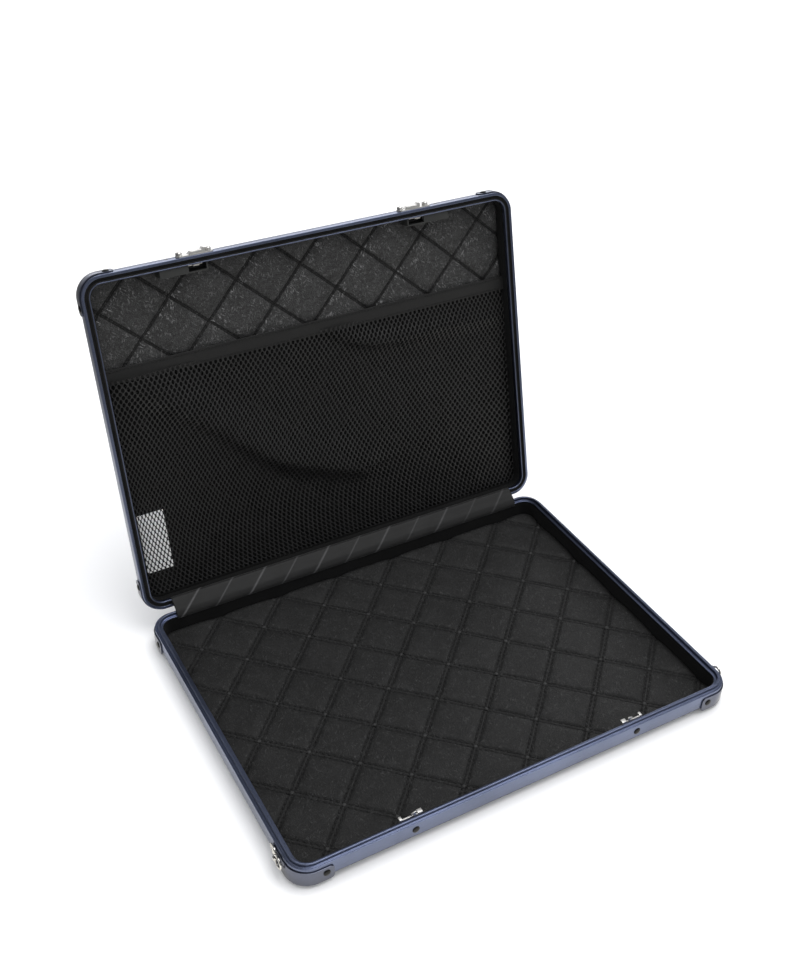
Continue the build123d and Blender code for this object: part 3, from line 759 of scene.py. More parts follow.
class Effects:
    """The effects that several finishes share, each one a node group built once."""

    def __init__(self) -> None:
        """Builds every group."""
        self.wear = self._edge_wear()
        self.grain = self._grain()
        self.weave = self._weave()
        self.seams = self._seams()
        self.wrinkles = self._wrinkles()

    @staticmethod
    def _group(name: str, inputs: dict[str, float | None], outputs: tuple[str, ...]) -> tuple[Wiring, Any, Any]:
        """Starts a group.

        Args:
            name: The group's name.
            inputs: Its inputs, each with a number's default, or None for a vector.
            outputs: Its outputs, which are numbers.

        Returns:
            The group's wiring, the values given to it, and the sockets that take its results.
        """
        tree = bpy.data.node_groups.new(name, "ShaderNodeTree")
        for label, default in inputs.items():
            kind = "NodeSocketVector" if default is None else "NodeSocketFloat"
            socket = tree.interface.new_socket(name=label, in_out="INPUT", socket_type=kind)
            if default is not None:
                socket.default_value = default
        for label in outputs:
            tree.interface.new_socket(name=label, in_out="OUTPUT", socket_type="NodeSocketFloat")
        wire = Wiring(tree)
        return wire, wire.add("NodeGroupInput").outputs, wire.add("NodeGroupOutput").inputs

    def _edge_wear(self) -> Tree:
        """Wear where handling rubs a piece's outer edges.

        Returns:
            A group that gives a mask from 0 to 1.
        """
        inputs = {"Place": None, "Reach": 0.0004, "Amount": 1.0, "Patches": 300.0}
        wire, given, result = self._group("Edge wear", inputs, ("Mask",))
        soft = wire.add("ShaderNodeBevel", {"Radius": given["Reach"]}, samples=4).outputs[0]
        true = wire.add("ShaderNodeNewGeometry").outputs["Normal"]
        together = wire.add("ShaderNodeVectorMath", {0: soft, 1: true}, operation="DOT_PRODUCT")
        bent = wire.span(together.outputs["Value"], 0.995, 0.86)
        broken = wire.span(wire.noise(given["Place"], given["Patches"], 4.0, 0.5), 0.35, 0.65, 0.25)
        wire.feed(result["Mask"], wire.times(wire.times(bent, broken), given["Amount"], clamp=True))
        return wire.tree

    def _grain(self) -> Tree:
        """The pebbled grain of leatherette and of moulded shells.

        Returns:
            A group that gives a height and a tone, both from 0 to 1.
        """
        inputs = {"Place": None, "Pebbles": 900.0, "Softness": 0.25}
        wire, given, result = self._group("Grain", inputs, ("Height", "Tone"))
        drift = wire.times(wire.noise(given["Place"], 180.0, 2.0), 0.0012)
        shift = wire.add("ShaderNodeCombineXYZ", {0: drift}).outputs[0]
        moved = wire.add("ShaderNodeVectorMath", {0: given["Place"], 1: shift}, operation="ADD").outputs[0]
        cells = {"Vector": moved, "Scale": given["Pebbles"], "Randomness": 0.9}
        pebbles = wire.add("ShaderNodeTexVoronoi", cells, feature="DISTANCE_TO_EDGE").outputs["Distance"]
        rise = wire.span(pebbles, 0.0, given["Softness"], interpolation_type="SMOOTHSTEP")
        wire.feed(result["Height"], rise)
        wire.feed(result["Tone"], wire.noise(given["Place"], 60.0, 5.0, 0.6))
        return wire.tree

    def _weave(self) -> Tree:
        """A plain weave that follows the surface.

        Returns:
            A group that gives a height and a tone, both from 0 to 1.
        """
        wire, given, result = self._group("Weave", {"Flow": None, "Threads": 2.0}, ("Height", "Tone"))
        parts = wire.parts(given["Flow"])
        warp, weft = (wire.math("SINE", wire.times(parts[axis], given["Threads"])) for axis in (0, 1))
        wire.feed(result["Height"], wire.span(wire.times(warp, weft), -1.0, 1.0))
        wire.feed(result["Tone"], wire.noise(given["Flow"], 0.35, 4.0))
        return wire.tree

    def _seams(self) -> Tree:
        """The quilting's two slanting families of seams, each sewn in two rows.

        Returns:
            A group that gives masks of the sewn trenches, of the ridge between them, and of the slopes that
            lie beyond one family's seams.
        """
        inputs = {"Flow": None, "Half X": 29.0, "Half Y": 28.0, "Row": 1.5}
        wire, given, result = self._group("Quilting seams", inputs, ("Trench", "Ridge", "Slope"))
        parts = wire.parts(given["Flow"])
        shares = [wire.math("DIVIDE", parts[axis], given[f"Half {'XY'[axis]}"]) for axis in (0, 1)]
        steep = [wire.math("POWER", given[label], -2.0) for label in ("Half X", "Half Y")]
        spacing = wire.math("DIVIDE", 2.0, wire.math("SQRT", wire.plus(*steep)))
        trench, ridge = [], []
        for kind in ("SUBTRACT", "ADD"):
            count = wire.times(wire.math(kind, *shares), 0.5)
            signed = wire.minus(count, wire.math("ROUND", count))
            away = wire.times(wire.math("ABSOLUTE", signed), spacing)
            from_row = wire.math("ABSOLUTE", wire.minus(away, given["Row"]))
            trench.append(wire.span(from_row, 0.25, 1.1, 1.0, 0.0))
            ridge.append(wire.span(away, 0.2, 1.0, 1.0, 0.0))
        slope = wire.times(wire.math("GREATER_THAN", signed), wire.span(away, 2.0, 17.0, 1.0, 0.0))
        wire.feed(result["Trench"], wire.math("MAXIMUM", *trench))
        wire.feed(result["Ridge"], wire.math("MAXIMUM", *ridge))
        wire.feed(result["Slope"], slope)
        return wire.tree

    def _wrinkles(self) -> Tree:
        """Short thin creases, as leatherette shows where it is stretched over foam.

        Returns:
            A group that gives a mask of the creases, from 0 to 1.
        """
        wire, given, result = self._group("Wrinkles", {"Flow": None, "Cover": 0.5}, ("Mask",))
        mask = 0.0
        for turn, shift in ((0.3, 3.0), (-0.4, 11.0), (0.95, 29.0)):
            moved = wire.add("ShaderNodeVectorMath", {0: given["Flow"], 1: (shift, shift, 0.0)}).outputs[0]
            drawn = wire.stretched(wire.stretched(moved, (1.0, 1.0, 1.0), turn), (0.95, 0.22, 1.0))
            strokes = wire.span(wire.noise(drawn, 1.0, 1.5, 0.5, 0.35), 0.58, 0.68)
            open_at = wire.minus(1.0, given["Cover"])
            kept = wire.times(wire.minus(wire.noise(moved, 0.12, 2.0), open_at), 6.0, clamp=True)
            mask = wire.math("MAXIMUM", mask, wire.times(strokes, kept))
        wire.feed(result["Mask"], mask)
        return wire.tree


# ---- Finishes ----


def shaded(colour: Colour, share: float) -> Colour:
    """A colour made lighter or darker by a share."""
    return tuple(min(1.0, part * share) for part in colour)


def grey(tone: float) -> Colour:
    """A neutral colour."""
    return (tone, tone, tone)


@dataclass(frozen=True)
class Finish:
    """A named finish, which builds its material once."""

    name: str
    effects: Effects = field(repr=False, compare=False)

    def material(self) -> bpy.types.Material:
        """The finish's material, made on first use.

        Returns:
            The material.
        """
        made = bpy.data.materials.get(self.name)
        if made is None:
            made = bpy.data.materials.new(self.name)
            made.use_nodes = True
            made.node_tree.nodes.clear()
            wire = Wiring(made.node_tree)
            shader = wire.add("ShaderNodeBsdfPrincipled", self.looks(wire))
            wire.add("ShaderNodeOutputMaterial", {"Surface": shader.outputs[0]})
        return made

    def looks(self, wire: Wiring) -> dict[str, Any]:
        """What the shader is fed with; each finish does this its own way."""
        raise NotImplementedError


@dataclass(frozen=True)
class AnodisedMetal(Finish):
    """Rolled metal with a satin anodised colour, drawn lines along it, and bare metal where edges rub."""

    colour: Colour = (0.13, 0.155, 0.245)
    worn: Colour = (0.34, 0.36, 0.44)
    roughness: float = 0.3

    def looks(self, wire: Wiring) -> dict[str, Any]:
        """Wires drawn lines, cloudy tone and worn edges.

        Args:
            wire: The material's wiring.

        Returns:
            The shader's inputs.
        """
        place = wire.place()
        drawn = wire.noise(wire.stretched(wire.flow(), (0.03, 1.0, 1.0)), 9.0, 4.0, 0.5)
        cloud = wire.span(wire.noise(place, 14.0, 4.0), 0.3, 0.7)
        wear = wire.use(self.effects.wear, Place=place, Reach=0.0003, Amount=0.55)[0]
        tone = wire.blend(cloud, shaded(self.colour, 0.84), shaded(self.colour, 1.22))
        tone = wire.blend(wire.times(drawn, 0.18), tone, self.worn)
        return {
            "Base Color": wire.blend(wear, tone, self.worn),
            "Metallic": 1.0,
            "Roughness": wire.span(drawn, 0.2, 0.8, self.roughness - 0.07, self.roughness + 0.09),
            "Normal": wire.bump(drawn, 0.00002, 0.35),
        }


@dataclass(frozen=True)
class BrightMetal(Finish):
    """Plated or bare metal: polished, with fine scratches, cloudy patches and dulled edges."""

    colour: Colour = (0.72, 0.71, 0.69)
    dull: Colour = (0.5, 0.49, 0.47)
    roughness: float = 0.16
    clouds: float = 1.0

    def looks(self, wire: Wiring) -> dict[str, Any]:
        """Wires scratches, clouds and edges.

        Args:
            wire: The material's wiring.

        Returns:
            The shader's inputs.
        """
        place = wire.place()
        scratches = wire.noise(wire.stretched(place, (900.0, 9000.0, 4000.0), 0.4), 1.0)
        cloud = wire.noise(place, 120.0, 5.0, 0.6)
        wear = wire.use(self.effects.wear, Place=place, Reach=0.00025, Amount=0.4, Patches=900.0)[0]
        tone = wire.blend(wire.span(cloud, 0.35, 0.7, 0.0, self.clouds), self.colour, self.dull)
        return {
            "Base Color": wire.blend(wear, tone, shaded(self.colour, 1.25)),
            "Metallic": 1.0,
            "Roughness": wire.plus(wire.times(cloud, 0.16 * self.clouds), self.roughness - 0.06 * self.clouds),
            "Normal": wire.bump(scratches, 0.00001, 0.25),
        }


@dataclass(frozen=True)
class MouldedShell(Finish):
    """Grained moulded plastic, rubbed a little smoother and paler on its edges."""

    colour: Colour = (0.022, 0.026, 0.042)
    worn: Colour = (0.075, 0.08, 0.1)
    roughness: float = 0.48
    pebbles: float = 700.0
    depth: float = 0.00012

    def looks(self, wire: Wiring) -> dict[str, Any]:
        """Wires grain, cloudy tone and worn edges.

        Args:
            wire: The material's wiring.

        Returns:
            The shader's inputs.
        """
        place = wire.place()
        height, cloud = wire.use(self.effects.grain, Place=place, Pebbles=self.pebbles, Softness=0.3)
        wear = wire.use(self.effects.wear, Place=place, Reach=0.0008, Amount=0.5)[0]
        tone = wire.blend(wire.span(cloud, 0.35, 0.65), shaded(self.colour, 0.88), self.colour)
        return {
            "Base Color": wire.blend(wear, tone, self.worn),
            "Roughness": wire.span(height, 0.0, 1.0, self.roughness + 0.14, self.roughness),
            "Normal": wire.bump(height, self.depth, 0.7),
        }


@dataclass(frozen=True)
class Leatherette(Finish):
    """Grained leatherette, quilted, wrinkled over its foam and drawn in along its seams, with painted glints on its
    creases, a painted highlight on its seam ridges and painted shade in its sewn trenches.
    """

    lattice: Lattice
    colour: Colour
    pale: Colour
    # The creases' pale colour, a painted glint.
    crease_glint: Colour = (0.06, 0.06, 0.059)
    roughness: float = 0.46
    shine: float = 0.45
    wrinkled: float = 0.5
    wrinkle_height: float = 0.3
    one_sided: float = 0.0
    # How strongly painted shade darkens the sewn trenches.
    sewn: float = 0.35
    # How strongly the seam ridges take the pale colour, a painted highlight.
    ridge_highlight: float = 0.0

    def looks(self, wire: Wiring) -> dict[str, Any]:
        """Wires grain, wrinkles with painted glints, a painted highlight on the seam ridges, painted shade in the sewn
        trenches and a rubbed tone.

        Args:
            wire: The material's wiring.

        Returns:
            The shader's inputs.
        """
        effects, lattice = self.effects, self.lattice
        place, flow = wire.place(), wire.flow()
        pitch_x, pitch_y = lattice.half_pitch
        seams = wire.use(effects.seams, Flow=flow, Half_X=pitch_x, Half_Y=pitch_y, Row=lattice.row_gap)
        trench, ridge, slope = seams
        grain, cloud = wire.use(effects.grain, Place=place, Pebbles=900.0, Softness=0.35)
        wrinkles = wire.use(effects.wrinkles, Flow=flow, Cover=self.wrinkled)[0]
        # The creases, and with them their painted glints, are weighted towards one slope of each diamond, the slope
        # that faces the light.
        wrinkles = wire.times(wrinkles, wire.span(slope, 0.0, 1.0, 1.0 - self.one_sided))
        mottle = wire.noise(wire.stretched(place, (300.0, 900.0, 500.0), 0.8), 1.0)
        tone = wire.blend(wire.span(cloud, 0.4, 0.6), self.colour, self.pale)
        shade = wire.blend(wire.span(mottle, 0.32, 0.68), grey(0.74), grey(1.22))
        tone = wire.blend(1.0, tone, shade, "MULTIPLY")
        # Painted glints: the creases take a paler colour.
        tone = wire.blend(wrinkles, tone, self.crease_glint)
        # Painted highlight: the raised ridge between the stitch rows takes the pale colour.
        tone = wire.blend(wire.times(ridge, self.ridge_highlight), tone, self.pale)
        # Painted shade: the sewn trenches are darkened towards a quarter of the colour.
        tone = wire.blend(wire.times(trench, self.sewn), tone, shaded(self.colour, 0.25))
        speckle = wire.blend(wire.span(grain, 0.0, 0.6, 0.35, 1.1), grey(0.0), grey(1.0))
        rough = wire.span(grain, 0.0, 1.0, self.roughness + 0.22, self.roughness)
        rough = wire.minus(rough, wire.times(wrinkles, 0.16))
        height = wire.plus(wire.times(grain, 0.45), wire.times(mottle, 0.5))
        height = wire.plus(height, wire.times(wrinkles, self.wrinkle_height))
        return {
            "Base Color": wire.blend(1.0, tone, speckle, "MULTIPLY"),
            "Roughness": wire.plus(rough, wire.times(trench, 0.35), clamp=True),
            "Specular IOR Level": self.shine,
            "Normal": wire.bump(wire.minus(height, wire.times(trench, 0.5)), 0.0005, 0.9),
        }


@dataclass(frozen=True)
class Flock(Finish):
    """Short black flock on a stiff board."""

    colour: Colour

    def looks(self, wire: Wiring) -> dict[str, Any]:
        """Wires fibres and brushed patches.

        Args:
            wire: The material's wiring.

        Returns:
            The shader's inputs.
        """
        place = wire.place()
        fibres = wire.noise(place, 4200.0, 2.0, 0.7)
        brushed = wire.span(wire.noise(place, 45.0, 4.0, 0.6), 0.35, 0.65)
        tone = wire.blend(brushed, self.colour, shaded(self.colour, 1.6))
        return {
            "Base Color": wire.blend(wire.times(fibres, 0.2), tone, grey(0.01)),
            "Roughness": wire.span(fibres, 0.0, 1.0, 0.85),
            "Sheen Weight": 0.04,
            "Specular IOR Level": 0.08,
            "Normal": wire.bump(fibres, 0.0002, 0.8),
        }


@dataclass(frozen=True)
class Yarn(Finish):
    """Twisted or knitted yarn, with fibres across it."""

    colour: Colour
    lit: Colour
    roughness: float
    twist: float = 2600.0

    def looks(self, wire: Wiring) -> dict[str, Any]:
        """Wires the yarn's twist and its uneven dye.

        Args:
            wire: The material's wiring.

        Returns:
            The shader's inputs.
        """
        place = wire.place()
        twist = wire.noise(wire.stretched(place, (1.0, 0.35, 0.35), 0.7), self.twist, 2.0)
        dye = wire.span(wire.noise(place, 90.0, 4.0), 0.4, 0.7, 0.0, 0.5)
        tone = wire.blend(wire.span(twist, 0.4, 0.72), self.colour, self.lit)
        return {
            "Base Color": wire.blend(dye, tone, shaded(self.colour, 0.6)),
            "Roughness": wire.span(twist, 0.0, 1.0, self.roughness + 0.15, self.roughness - 0.1),
            "Normal": wire.bump(twist, 0.00012, 0.7),
        }


@dataclass(frozen=True)
class WovenTape(Finish):
    """Tightly woven tape, dull on its face, with rubbed patches."""

    colour: Colour
    lit: Colour
    threads: float = 9.0

    def looks(self, wire: Wiring) -> dict[str, Any]:
        """Wires the weave and its rubbed patches.

        Args:
            wire: The material's wiring.

        Returns:
            The shader's inputs.
        """
        height, cloud = wire.use(self.effects.weave, Flow=wire.flow(), Threads=self.threads)
        tone = wire.blend(height, self.colour, self.lit)
        return {
            "Base Color": wire.blend(wire.span(cloud, 0.4, 0.7, 0.0, 0.4), tone, self.lit),
            "Roughness": wire.span(height, 0.0, 1.0, 0.8, 0.62),
            "Sheen Weight": 0.04,
            "Normal": wire.bump(height, 0.0001, 0.6),
        }


@dataclass(frozen=True)
class SatinStrip(Finish):
    """The satin strip inside the hinge, with diagonal creases where it was wound, painted paler as highlights."""

    colour: Colour
    # The creases' pale colour, a painted highlight along each fold.
    crease: Colour = (0.1, 0.1, 0.103)
    threads: float = 12.0

    def looks(self, wire: Wiring) -> dict[str, Any]:
        """Wires a fine weave and the creases' painted highlight.

        Args:
            wire: The material's wiring.

        Returns:
            The shader's inputs.
        """
        flow = wire.flow()
        height = wire.use(self.effects.weave, Flow=flow, Threads=self.threads)[0]
        crease = wire.add("ShaderNodeAttribute", attribute_name="crease").outputs["Fac"]
        cloud = wire.noise(wire.stretched(flow, (0.05, 0.2, 1.0)), 1.0)
        tone = wire.blend(wire.span(cloud, 0.35, 0.65), shaded(self.colour, 0.8), self.colour)
        # The painted highlight along the creases, broken up by the cloud.
        worn = wire.times(crease, wire.span(cloud, 0.2, 0.8, 0.55))
        return {
            "Base Color": wire.blend(worn, tone, self.crease),
            "Roughness": wire.span(height, 0.0, 1.0, 0.63, 0.5),
            "Sheen Weight": 0.05,
            "Specular IOR Level": 0.25,
            "Normal": wire.bump(height, 0.00004, 0.5),
        }


@dataclass(frozen=True)
class Vinyl(Finish):
    """A bare white vinyl label with faint handling marks."""

    colour: Colour = (0.98, 0.98, 0.97)
    soiled: Colour = (0.6, 0.6, 0.58)

    def looks(self, wire: Wiring) -> dict[str, Any]:
        """Wires faint handling marks.

        Args:
            wire: The material's wiring.

        Returns:
            The shader's inputs.
        """
        place = wire.place()
        marks = wire.noise(place, 260.0, 5.0, 0.65)
        return {
            "Base Color": wire.blend(wire.span(marks, 0.6, 0.74, 0.0, 0.25), self.colour, self.soiled),
            "Roughness": wire.span(marks, 0.3, 0.7, 0.38, 0.5),
            "Normal": wire.bump(wire.noise(place, 2500.0, 2.0), 0.00003, 0.4),
        }


class Palette:
    """Every finish of the case."""

    def __init__(self) -> None:
        """Mixes the finishes."""
        fx = Effects()
        self.frame = AnodisedMetal("Navy anodised frame", fx)
        self.shell = MouldedShell("Grained navy shell", fx)
        # Base and lid are lined with one leatherette; the lid's copy is painted paler than the base's, painted light
        # where the front light falls on the lid.
        self.leather_base = Leatherette(
            "Leatherette of the base", fx, BASE_LATTICE, grey(0.0102), grey(0.0148), grey(0.043),
            shine=0.4, wrinkled=0.55, wrinkle_height=0.42, sewn=0.0, ridge_highlight=0.5,
        )
        # The lid's pale crease colour is a painted glint, laid mostly on the slope of each diamond that faces the
        # light.
        self.leather_lid = Leatherette(
            "Leatherette of the lid", fx, LID_LATTICE, grey(0.0265), grey(0.0365), grey(0.28),
            roughness=0.42, wrinkled=0.54, wrinkle_height=0.6, one_sided=0.6, sewn=0.75,
        )
        # A darker, duller copy of the lid's leatherette for the faces under the net: the net's painted shadow.
        self.leather_in_net_shadow = Leatherette(
            "Leatherette in the pocket", fx, LID_LATTICE, grey(0.007), grey(0.01),
            roughness=0.7, shine=0.12, wrinkled=0.3, sewn=0.8,
        )
        # The knots are real raised domes, with a painted highlight in their colour, which is paler than the
        # leatherette.
        self.knot = MouldedShell("Covered knot", fx, grey(0.026), worn=grey(0.05), roughness=0.5, pebbles=2200.0)
        self.groove_sheet = Flock("Black seal", fx, grey(0.012))
        self.flock = Flock("Black flock", fx, grey(0.003))
        self.thread = Yarn("Black sewing thread", fx, grey(0.0015), lit=grey(0.005), roughness=0.7)
        self.net = Yarn("Knitted net yarn", fx, grey(0.005), lit=grey(0.02), roughness=0.38)
        self.tape = WovenTape("Binding tape", fx, grey(0.0035), lit=grey(0.0065))
        self.strip = SatinStrip("Satin hinge strip", fx, grey(0.0135))
        self.label = Vinyl("Bare vinyl label", fx)
        self.guard = BrightMetal("Gunmetal guard", fx, (0.125, 0.135, 0.18), (0.11, 0.12, 0.155), 0.28, clouds=0.35)
        self.dark_rivet = BrightMetal("Blackened rivet", fx, grey(0.03), dull=grey(0.022), roughness=0.34)
        self.nickel = BrightMetal("Polished plating", fx)
        self.satin = BrightMetal("Satin plated latch", fx, (0.74, 0.73, 0.71), (0.6, 0.59, 0.57), 0.4, clouds=0.5)
        self.steel = BrightMetal("Zinc plated steel", fx, (0.46, 0.46, 0.45), dull=grey(0.34), roughness=0.3)
        self.housing = MouldedShell("Dark housing", fx, (0.02, 0.021, 0.02), grey(0.05), pebbles=2600.0, depth=0.00004)


# ---- Geometry trees ----


class GeometryTree:
    """A geometry node tree that stands copies of a mesh on a seed mesh, run once for each piece."""

    def __init__(self, name: str, **inputs: str) -> None:
        """Starts the tree.

        Args:
            name: The tree's name.
            inputs: Its inputs besides the geometry, the copied object and its finish, each with its socket type.
        """
        self.tree = bpy.data.node_groups.new(name, "GeometryNodeTree")
        kinds = {"Geometry": "Geometry", **inputs, "Copy": "Object", "Finish": "Material"}
        for label, kind in kinds.items():
            self.tree.interface.new_socket(name=label, in_out="INPUT", socket_type=f"NodeSocket{kind}")
        self.tree.interface.new_socket(name="Geometry", in_out="OUTPUT", socket_type="NodeSocketGeometry")
        self.wire = Wiring(self.tree)
        self.given = self.wire.add("NodeGroupInput").outputs

    def facing(self, axis: str, vector: Any, turn: Any = (0.0, 0.0, 0.0), **settings: Any) -> Socket:
        """A turn that brings an axis to a direction."""
        kind = "FunctionNodeAlignRotationToVector"
        return self.wire.add(kind, {"Vector": vector, "Rotation": turn}, axis=axis, **settings).outputs[0]

    def finish_with(self, points: Socket, turn: Socket, scale: Any = (1.0, 1.0, 1.0)) -> "GeometryTree":
        """Ends the tree: stands the copies, makes them real and gives them their material.

        Args:
            points: Where the copies stand.
            turn: How each is turned.
            scale: How much each is scaled.

        Returns:
            The tree.
        """
        wire, given = self.wire, self.given
        copy = wire.add("GeometryNodeObjectInfo", {"Object": given["Copy"], "As Instance": True})
        inputs = {"Points": points, "Instance": copy.outputs["Geometry"], "Rotation": turn, "Scale": scale}
        placed = wire.add("GeometryNodeInstanceOnPoints", inputs).outputs[0]
        real = wire.add("GeometryNodeRealizeInstances", {0: placed}).outputs[0]
        dressed = wire.add("GeometryNodeSetMaterial", {0: real, "Material": given["Finish"]}).outputs[0]
        wire.add("NodeGroupOutput", {0: dressed})
        return self

    @classmethod
    def on_points(cls) -> "GeometryTree":
        """A tree that stands a copy on each point, facing the way that the point's facing attribute says.

        Returns:
            The tree.
        """
        tree = cls("Copies on points")
        named = tree.wire.add("GeometryNodeInputNamedAttribute", {"Name": "facing"}, data_type="FLOAT_VECTOR")
        points = tree.wire.add("GeometryNodeMeshToPoints", {0: tree.given["Geometry"]}).outputs[0]
        return tree.finish_with(points, tree.facing("Z", named.outputs[0]))

    @classmethod
    def along_lines(cls) -> "GeometryTree":
        """A tree that sews a run of stitches along each line, with a little unevenness.

        Returns:
            The tree, with inputs Pitch, Up and Seed.
        """
        tree = cls("Stitches along seams", Pitch="Float", Up="Vector", Seed="Int")
        wire, given = tree.wire, tree.given
        seams = wire.add("GeometryNodeMeshToCurve", {0: given["Geometry"]}).outputs[0]
        inputs = {"Curve": seams, "Length": given["Pitch"]}
        spaced = wire.add("GeometryNodeResampleCurve", inputs, mode="LENGTH").outputs[0]
        along = tree.facing("X", wire.add("GeometryNodeInputTangent").outputs[0])
        upright = tree.facing("Z", given["Up"], along, pivot_axis="X")
        size = wire.add("FunctionNodeRandomValue", {2: 0.9, 3: 1.1, "Seed": given["Seed"]}, data_type="FLOAT")
        return tree.finish_with(spaced, upright, size.outputs[1])

    def bake(self, name: str, seed: Mesh, copy: Mesh, finish: Finish, **values: Any) -> Mesh:
        """Runs the tree on a seed mesh.

        Args:
            name: The new mesh's name.
            seed: The points or lines that the copies follow.
            copy: The mesh that is copied.
            finish: The copies' finish.
            values: The tree's other inputs, by name.

        Returns:
            A plain mesh.
        """
        helpers = [bpy.data.objects.new(mesh.name, mesh) for mesh in (seed, copy)]
        for helper in helpers:
            bpy.context.scene.collection.objects.link(helper)
        carrier, pattern = helpers
        values = {"Copy": pattern, "Finish": finish.material(), **values}
        modifier = carrier.modifiers.new("Copies", "NODES")
        modifier.node_group = self.tree
        for item in self.tree.interface.items_tree:
            if item.in_out == "INPUT" and item.name in values:
                modifier[item.identifier] = values[item.name]
        graph = bpy.context.evaluated_depsgraph_get()
        mesh = bpy.data.meshes.new_from_object(carrier.evaluated_get(graph), depsgraph=graph)
        mesh.name = name
        for helper in helpers:
            bpy.data.objects.remove(helper)
        return mesh


class Workshop:
    """The plan, the finishes and the trees that every sub-assembly works with."""

    def __init__(self, plan: Plan) -> None:
        """Builds the trees and mixes the finishes."""
        self.plan = plan
        self.palette = Palette()
        self.copies = GeometryTree.on_points()
        self.stitches = GeometryTree.along_lines()


# ---- Frames and shells ----


@dataclass
class Frames:
    """The two rolled metal frames: a tongue on the base's, and the groove that takes it on the lid's."""

    shop: Workshop
    wall: float = 1.3
    base_wall_height: float = 13.0
    lid_wall_height: float = 10.0
    bead_start: float = 0.9
    shoulder: float = 2.7
    tongue_end: float = 4.6
    tongue_height: float = 2.5
    ledge_drop: float = 0.5
    flange: float = 1.8
    groove_start: float = 2.4
    groove_end: float = 5.4
    groove_depth: float = 3.0
    lid_flange: float = 4.2
    lip_drop: float = 0.35
    edge_radius: float = 0.4
    bead: float = 0.22
    lip_slope: float = 0.6
    lip_face: float = 0.55
    groove_sheet_thickness: float = 0.25
    groove_sheet_start: float = 0.15
    groove_sheet_radius: float = 0.08

    def base_section(self) -> Path:
        """The base frame's section, with a fine bead line along its shoulder.

        Returns:
            Its corners, as inset and height above the rim.
        """
        depth, bead = self.shop.plan.frame_depth, self.bead
        return [
            (0.0, -self.base_wall_height), (0.0, 0.0), (self.bead_start, 0.0), (self.bead_start + bead, -bead),
            (self.bead_start + 2 * bead, 0.0), (self.shoulder, 0.0), (self.shoulder, self.tongue_height),
            (self.tongue_end, self.tongue_height), (self.tongue_end, -self.ledge_drop), (depth, -self.ledge_drop),
            (depth, -self.flange), (self.wall, -self.flange), (self.wall, -self.base_wall_height),
        ]

    def lid_section(self) -> Path:
        """The lid frame's section, with its groove and its inner lip.

        Returns:
            Its corners, as inset and height above the shut lid's rim.
        """
        depth, lip = self.shop.plan.frame_depth, self.groove_end + self.lip_slope
        return [
            (0.0, self.lid_wall_height), (0.0, 0.0), (self.groove_start, 0.0), (self.groove_start, self.groove_depth),
            (self.groove_end, self.groove_depth), (self.groove_end, self.lip_slope), (lip, 0.0),
            (lip + self.lip_face, 0.0), (depth, self.lip_drop), (depth, self.lid_flange),
            (self.wall, self.lid_flange), (self.wall, self.lid_wall_height),
        ]

    def groove_sheet_section(self) -> Path:
        """The section of the thin black sheet that lines the lid frame's groove and darkens it.

        Returns:
            Its corners, as inset and height above the shut lid's rim.
        """
        start, end, slope, thin = self.groove_start, self.groove_end, self.lip_slope, self.groove_sheet_thickness
        return [
            (start, self.groove_sheet_start), (start, self.groove_depth), (end, self.groove_depth), (end, slope),
            (end + slope - 0.12, 0.12), (end + slope - 0.3, 0.0), (end - thin, slope - 0.1),
            (end - thin, self.groove_depth - thin), (start + thin, self.groove_depth - thin),
            (start + thin, self.groove_sheet_start),
        ]

    def build(self) -> None:
        """Builds both frames and the thin black sheet in the lid frame's groove."""
        plan, palette = self.shop.plan, self.shop.palette
        base, lid = softened(self.base_section(), self.edge_radius), softened(self.lid_section(), self.edge_radius)
        groove_sheet = softened(self.groove_sheet_section(), self.groove_sheet_radius, 2)
        mesh = swept_round("base_frame_rolled", plan, base, plan.base_rim)
        place_piece("base_frame_rolled", mesh, Body.BASE, palette.frame, None, "base_frame")
        mesh = swept_round("lid_frame_rolled", plan, lid, plan.lid_rim)
        place_piece("lid_frame_rolled", mesh, Body.LID, palette.frame, plan.opening, "lid_frame")
        mesh = swept_round("lid_groove_seal", plan, groove_sheet, plan.lid_rim)
        place_piece("lid_groove_seal", mesh, Body.LID, palette.groove_sheet, plan.opening)


@dataclass
class Shells:
    """The two moulded trays, with rounded outer edges, and the flocked boards that stand inside them."""

    shop: Workshop
    inset: float = 1.4
    thickness: float = 1.2
    rim_cut: float = 0.3
    edge_radius: float = 6.8
    floor_inset: float = 15.0
    arc_steps: int = 10

    def build(self) -> None:
        """Builds both shells and dresses both boards."""
        self._shell("base_shell", Body.BASE, "base_panel", None)
        self._shell("lid_shell", Body.LID, "lid_panel", self.shop.plan.opening)
        for node in ("base_side_liner", "lid_side_liner"):
            dress_node(node, self.shop.palette.flock)

    def _shell(self, name: str, body: Body, node: str, pose: Matrix | None) -> None:
        """Builds one tray: sweeps its wall round the plan and closes both ends with flat floors.

        Args:
            name: The piece's name.
            body: The body that it rides on.
            node: The node that it stands for.
            pose: The turn that it stands in.
        """
        boxes = islands(node, pose)
        low, high = min(box[0][2] for box in boxes), max(box[1][2] for box in boxes)
        closed, sign = (low, 1) if body is Body.BASE else (high, -1)
        height, cut, inset = high - low, self.rim_cut, self.inset
        far = inset + self.thickness
        centre = (inset + self.edge_radius, self.edge_radius)
        outer = arc(centre, self.edge_radius, 270, 180, self.arc_steps)
        inner = arc(centre, self.edge_radius - self.thickness, 180, 270, self.arc_steps)
        rim = [(inset, height - cut), (inset + cut, height), (far - cut, height), (far, height - cut)]
        section = [(self.floor_inset, 0.0), *outer, *rim, *inner, (self.floor_inset, self.thickness)]
        points, _ = self.shop.plan.swept(section, closed, sign)
        rows, columns = points.shape[:2]
        faces = grid_faces(rows, columns, wrap=True).tolist()
        faces += [list(range(end, rows * columns, columns)) for end in (0, columns - 1)]
        mesh = mesh_of(name, points.reshape(-1, 3), faces)
        place_piece(name, mesh, body, self.shop.palette.shell, pose, node)


# ---- Quilted pads ----


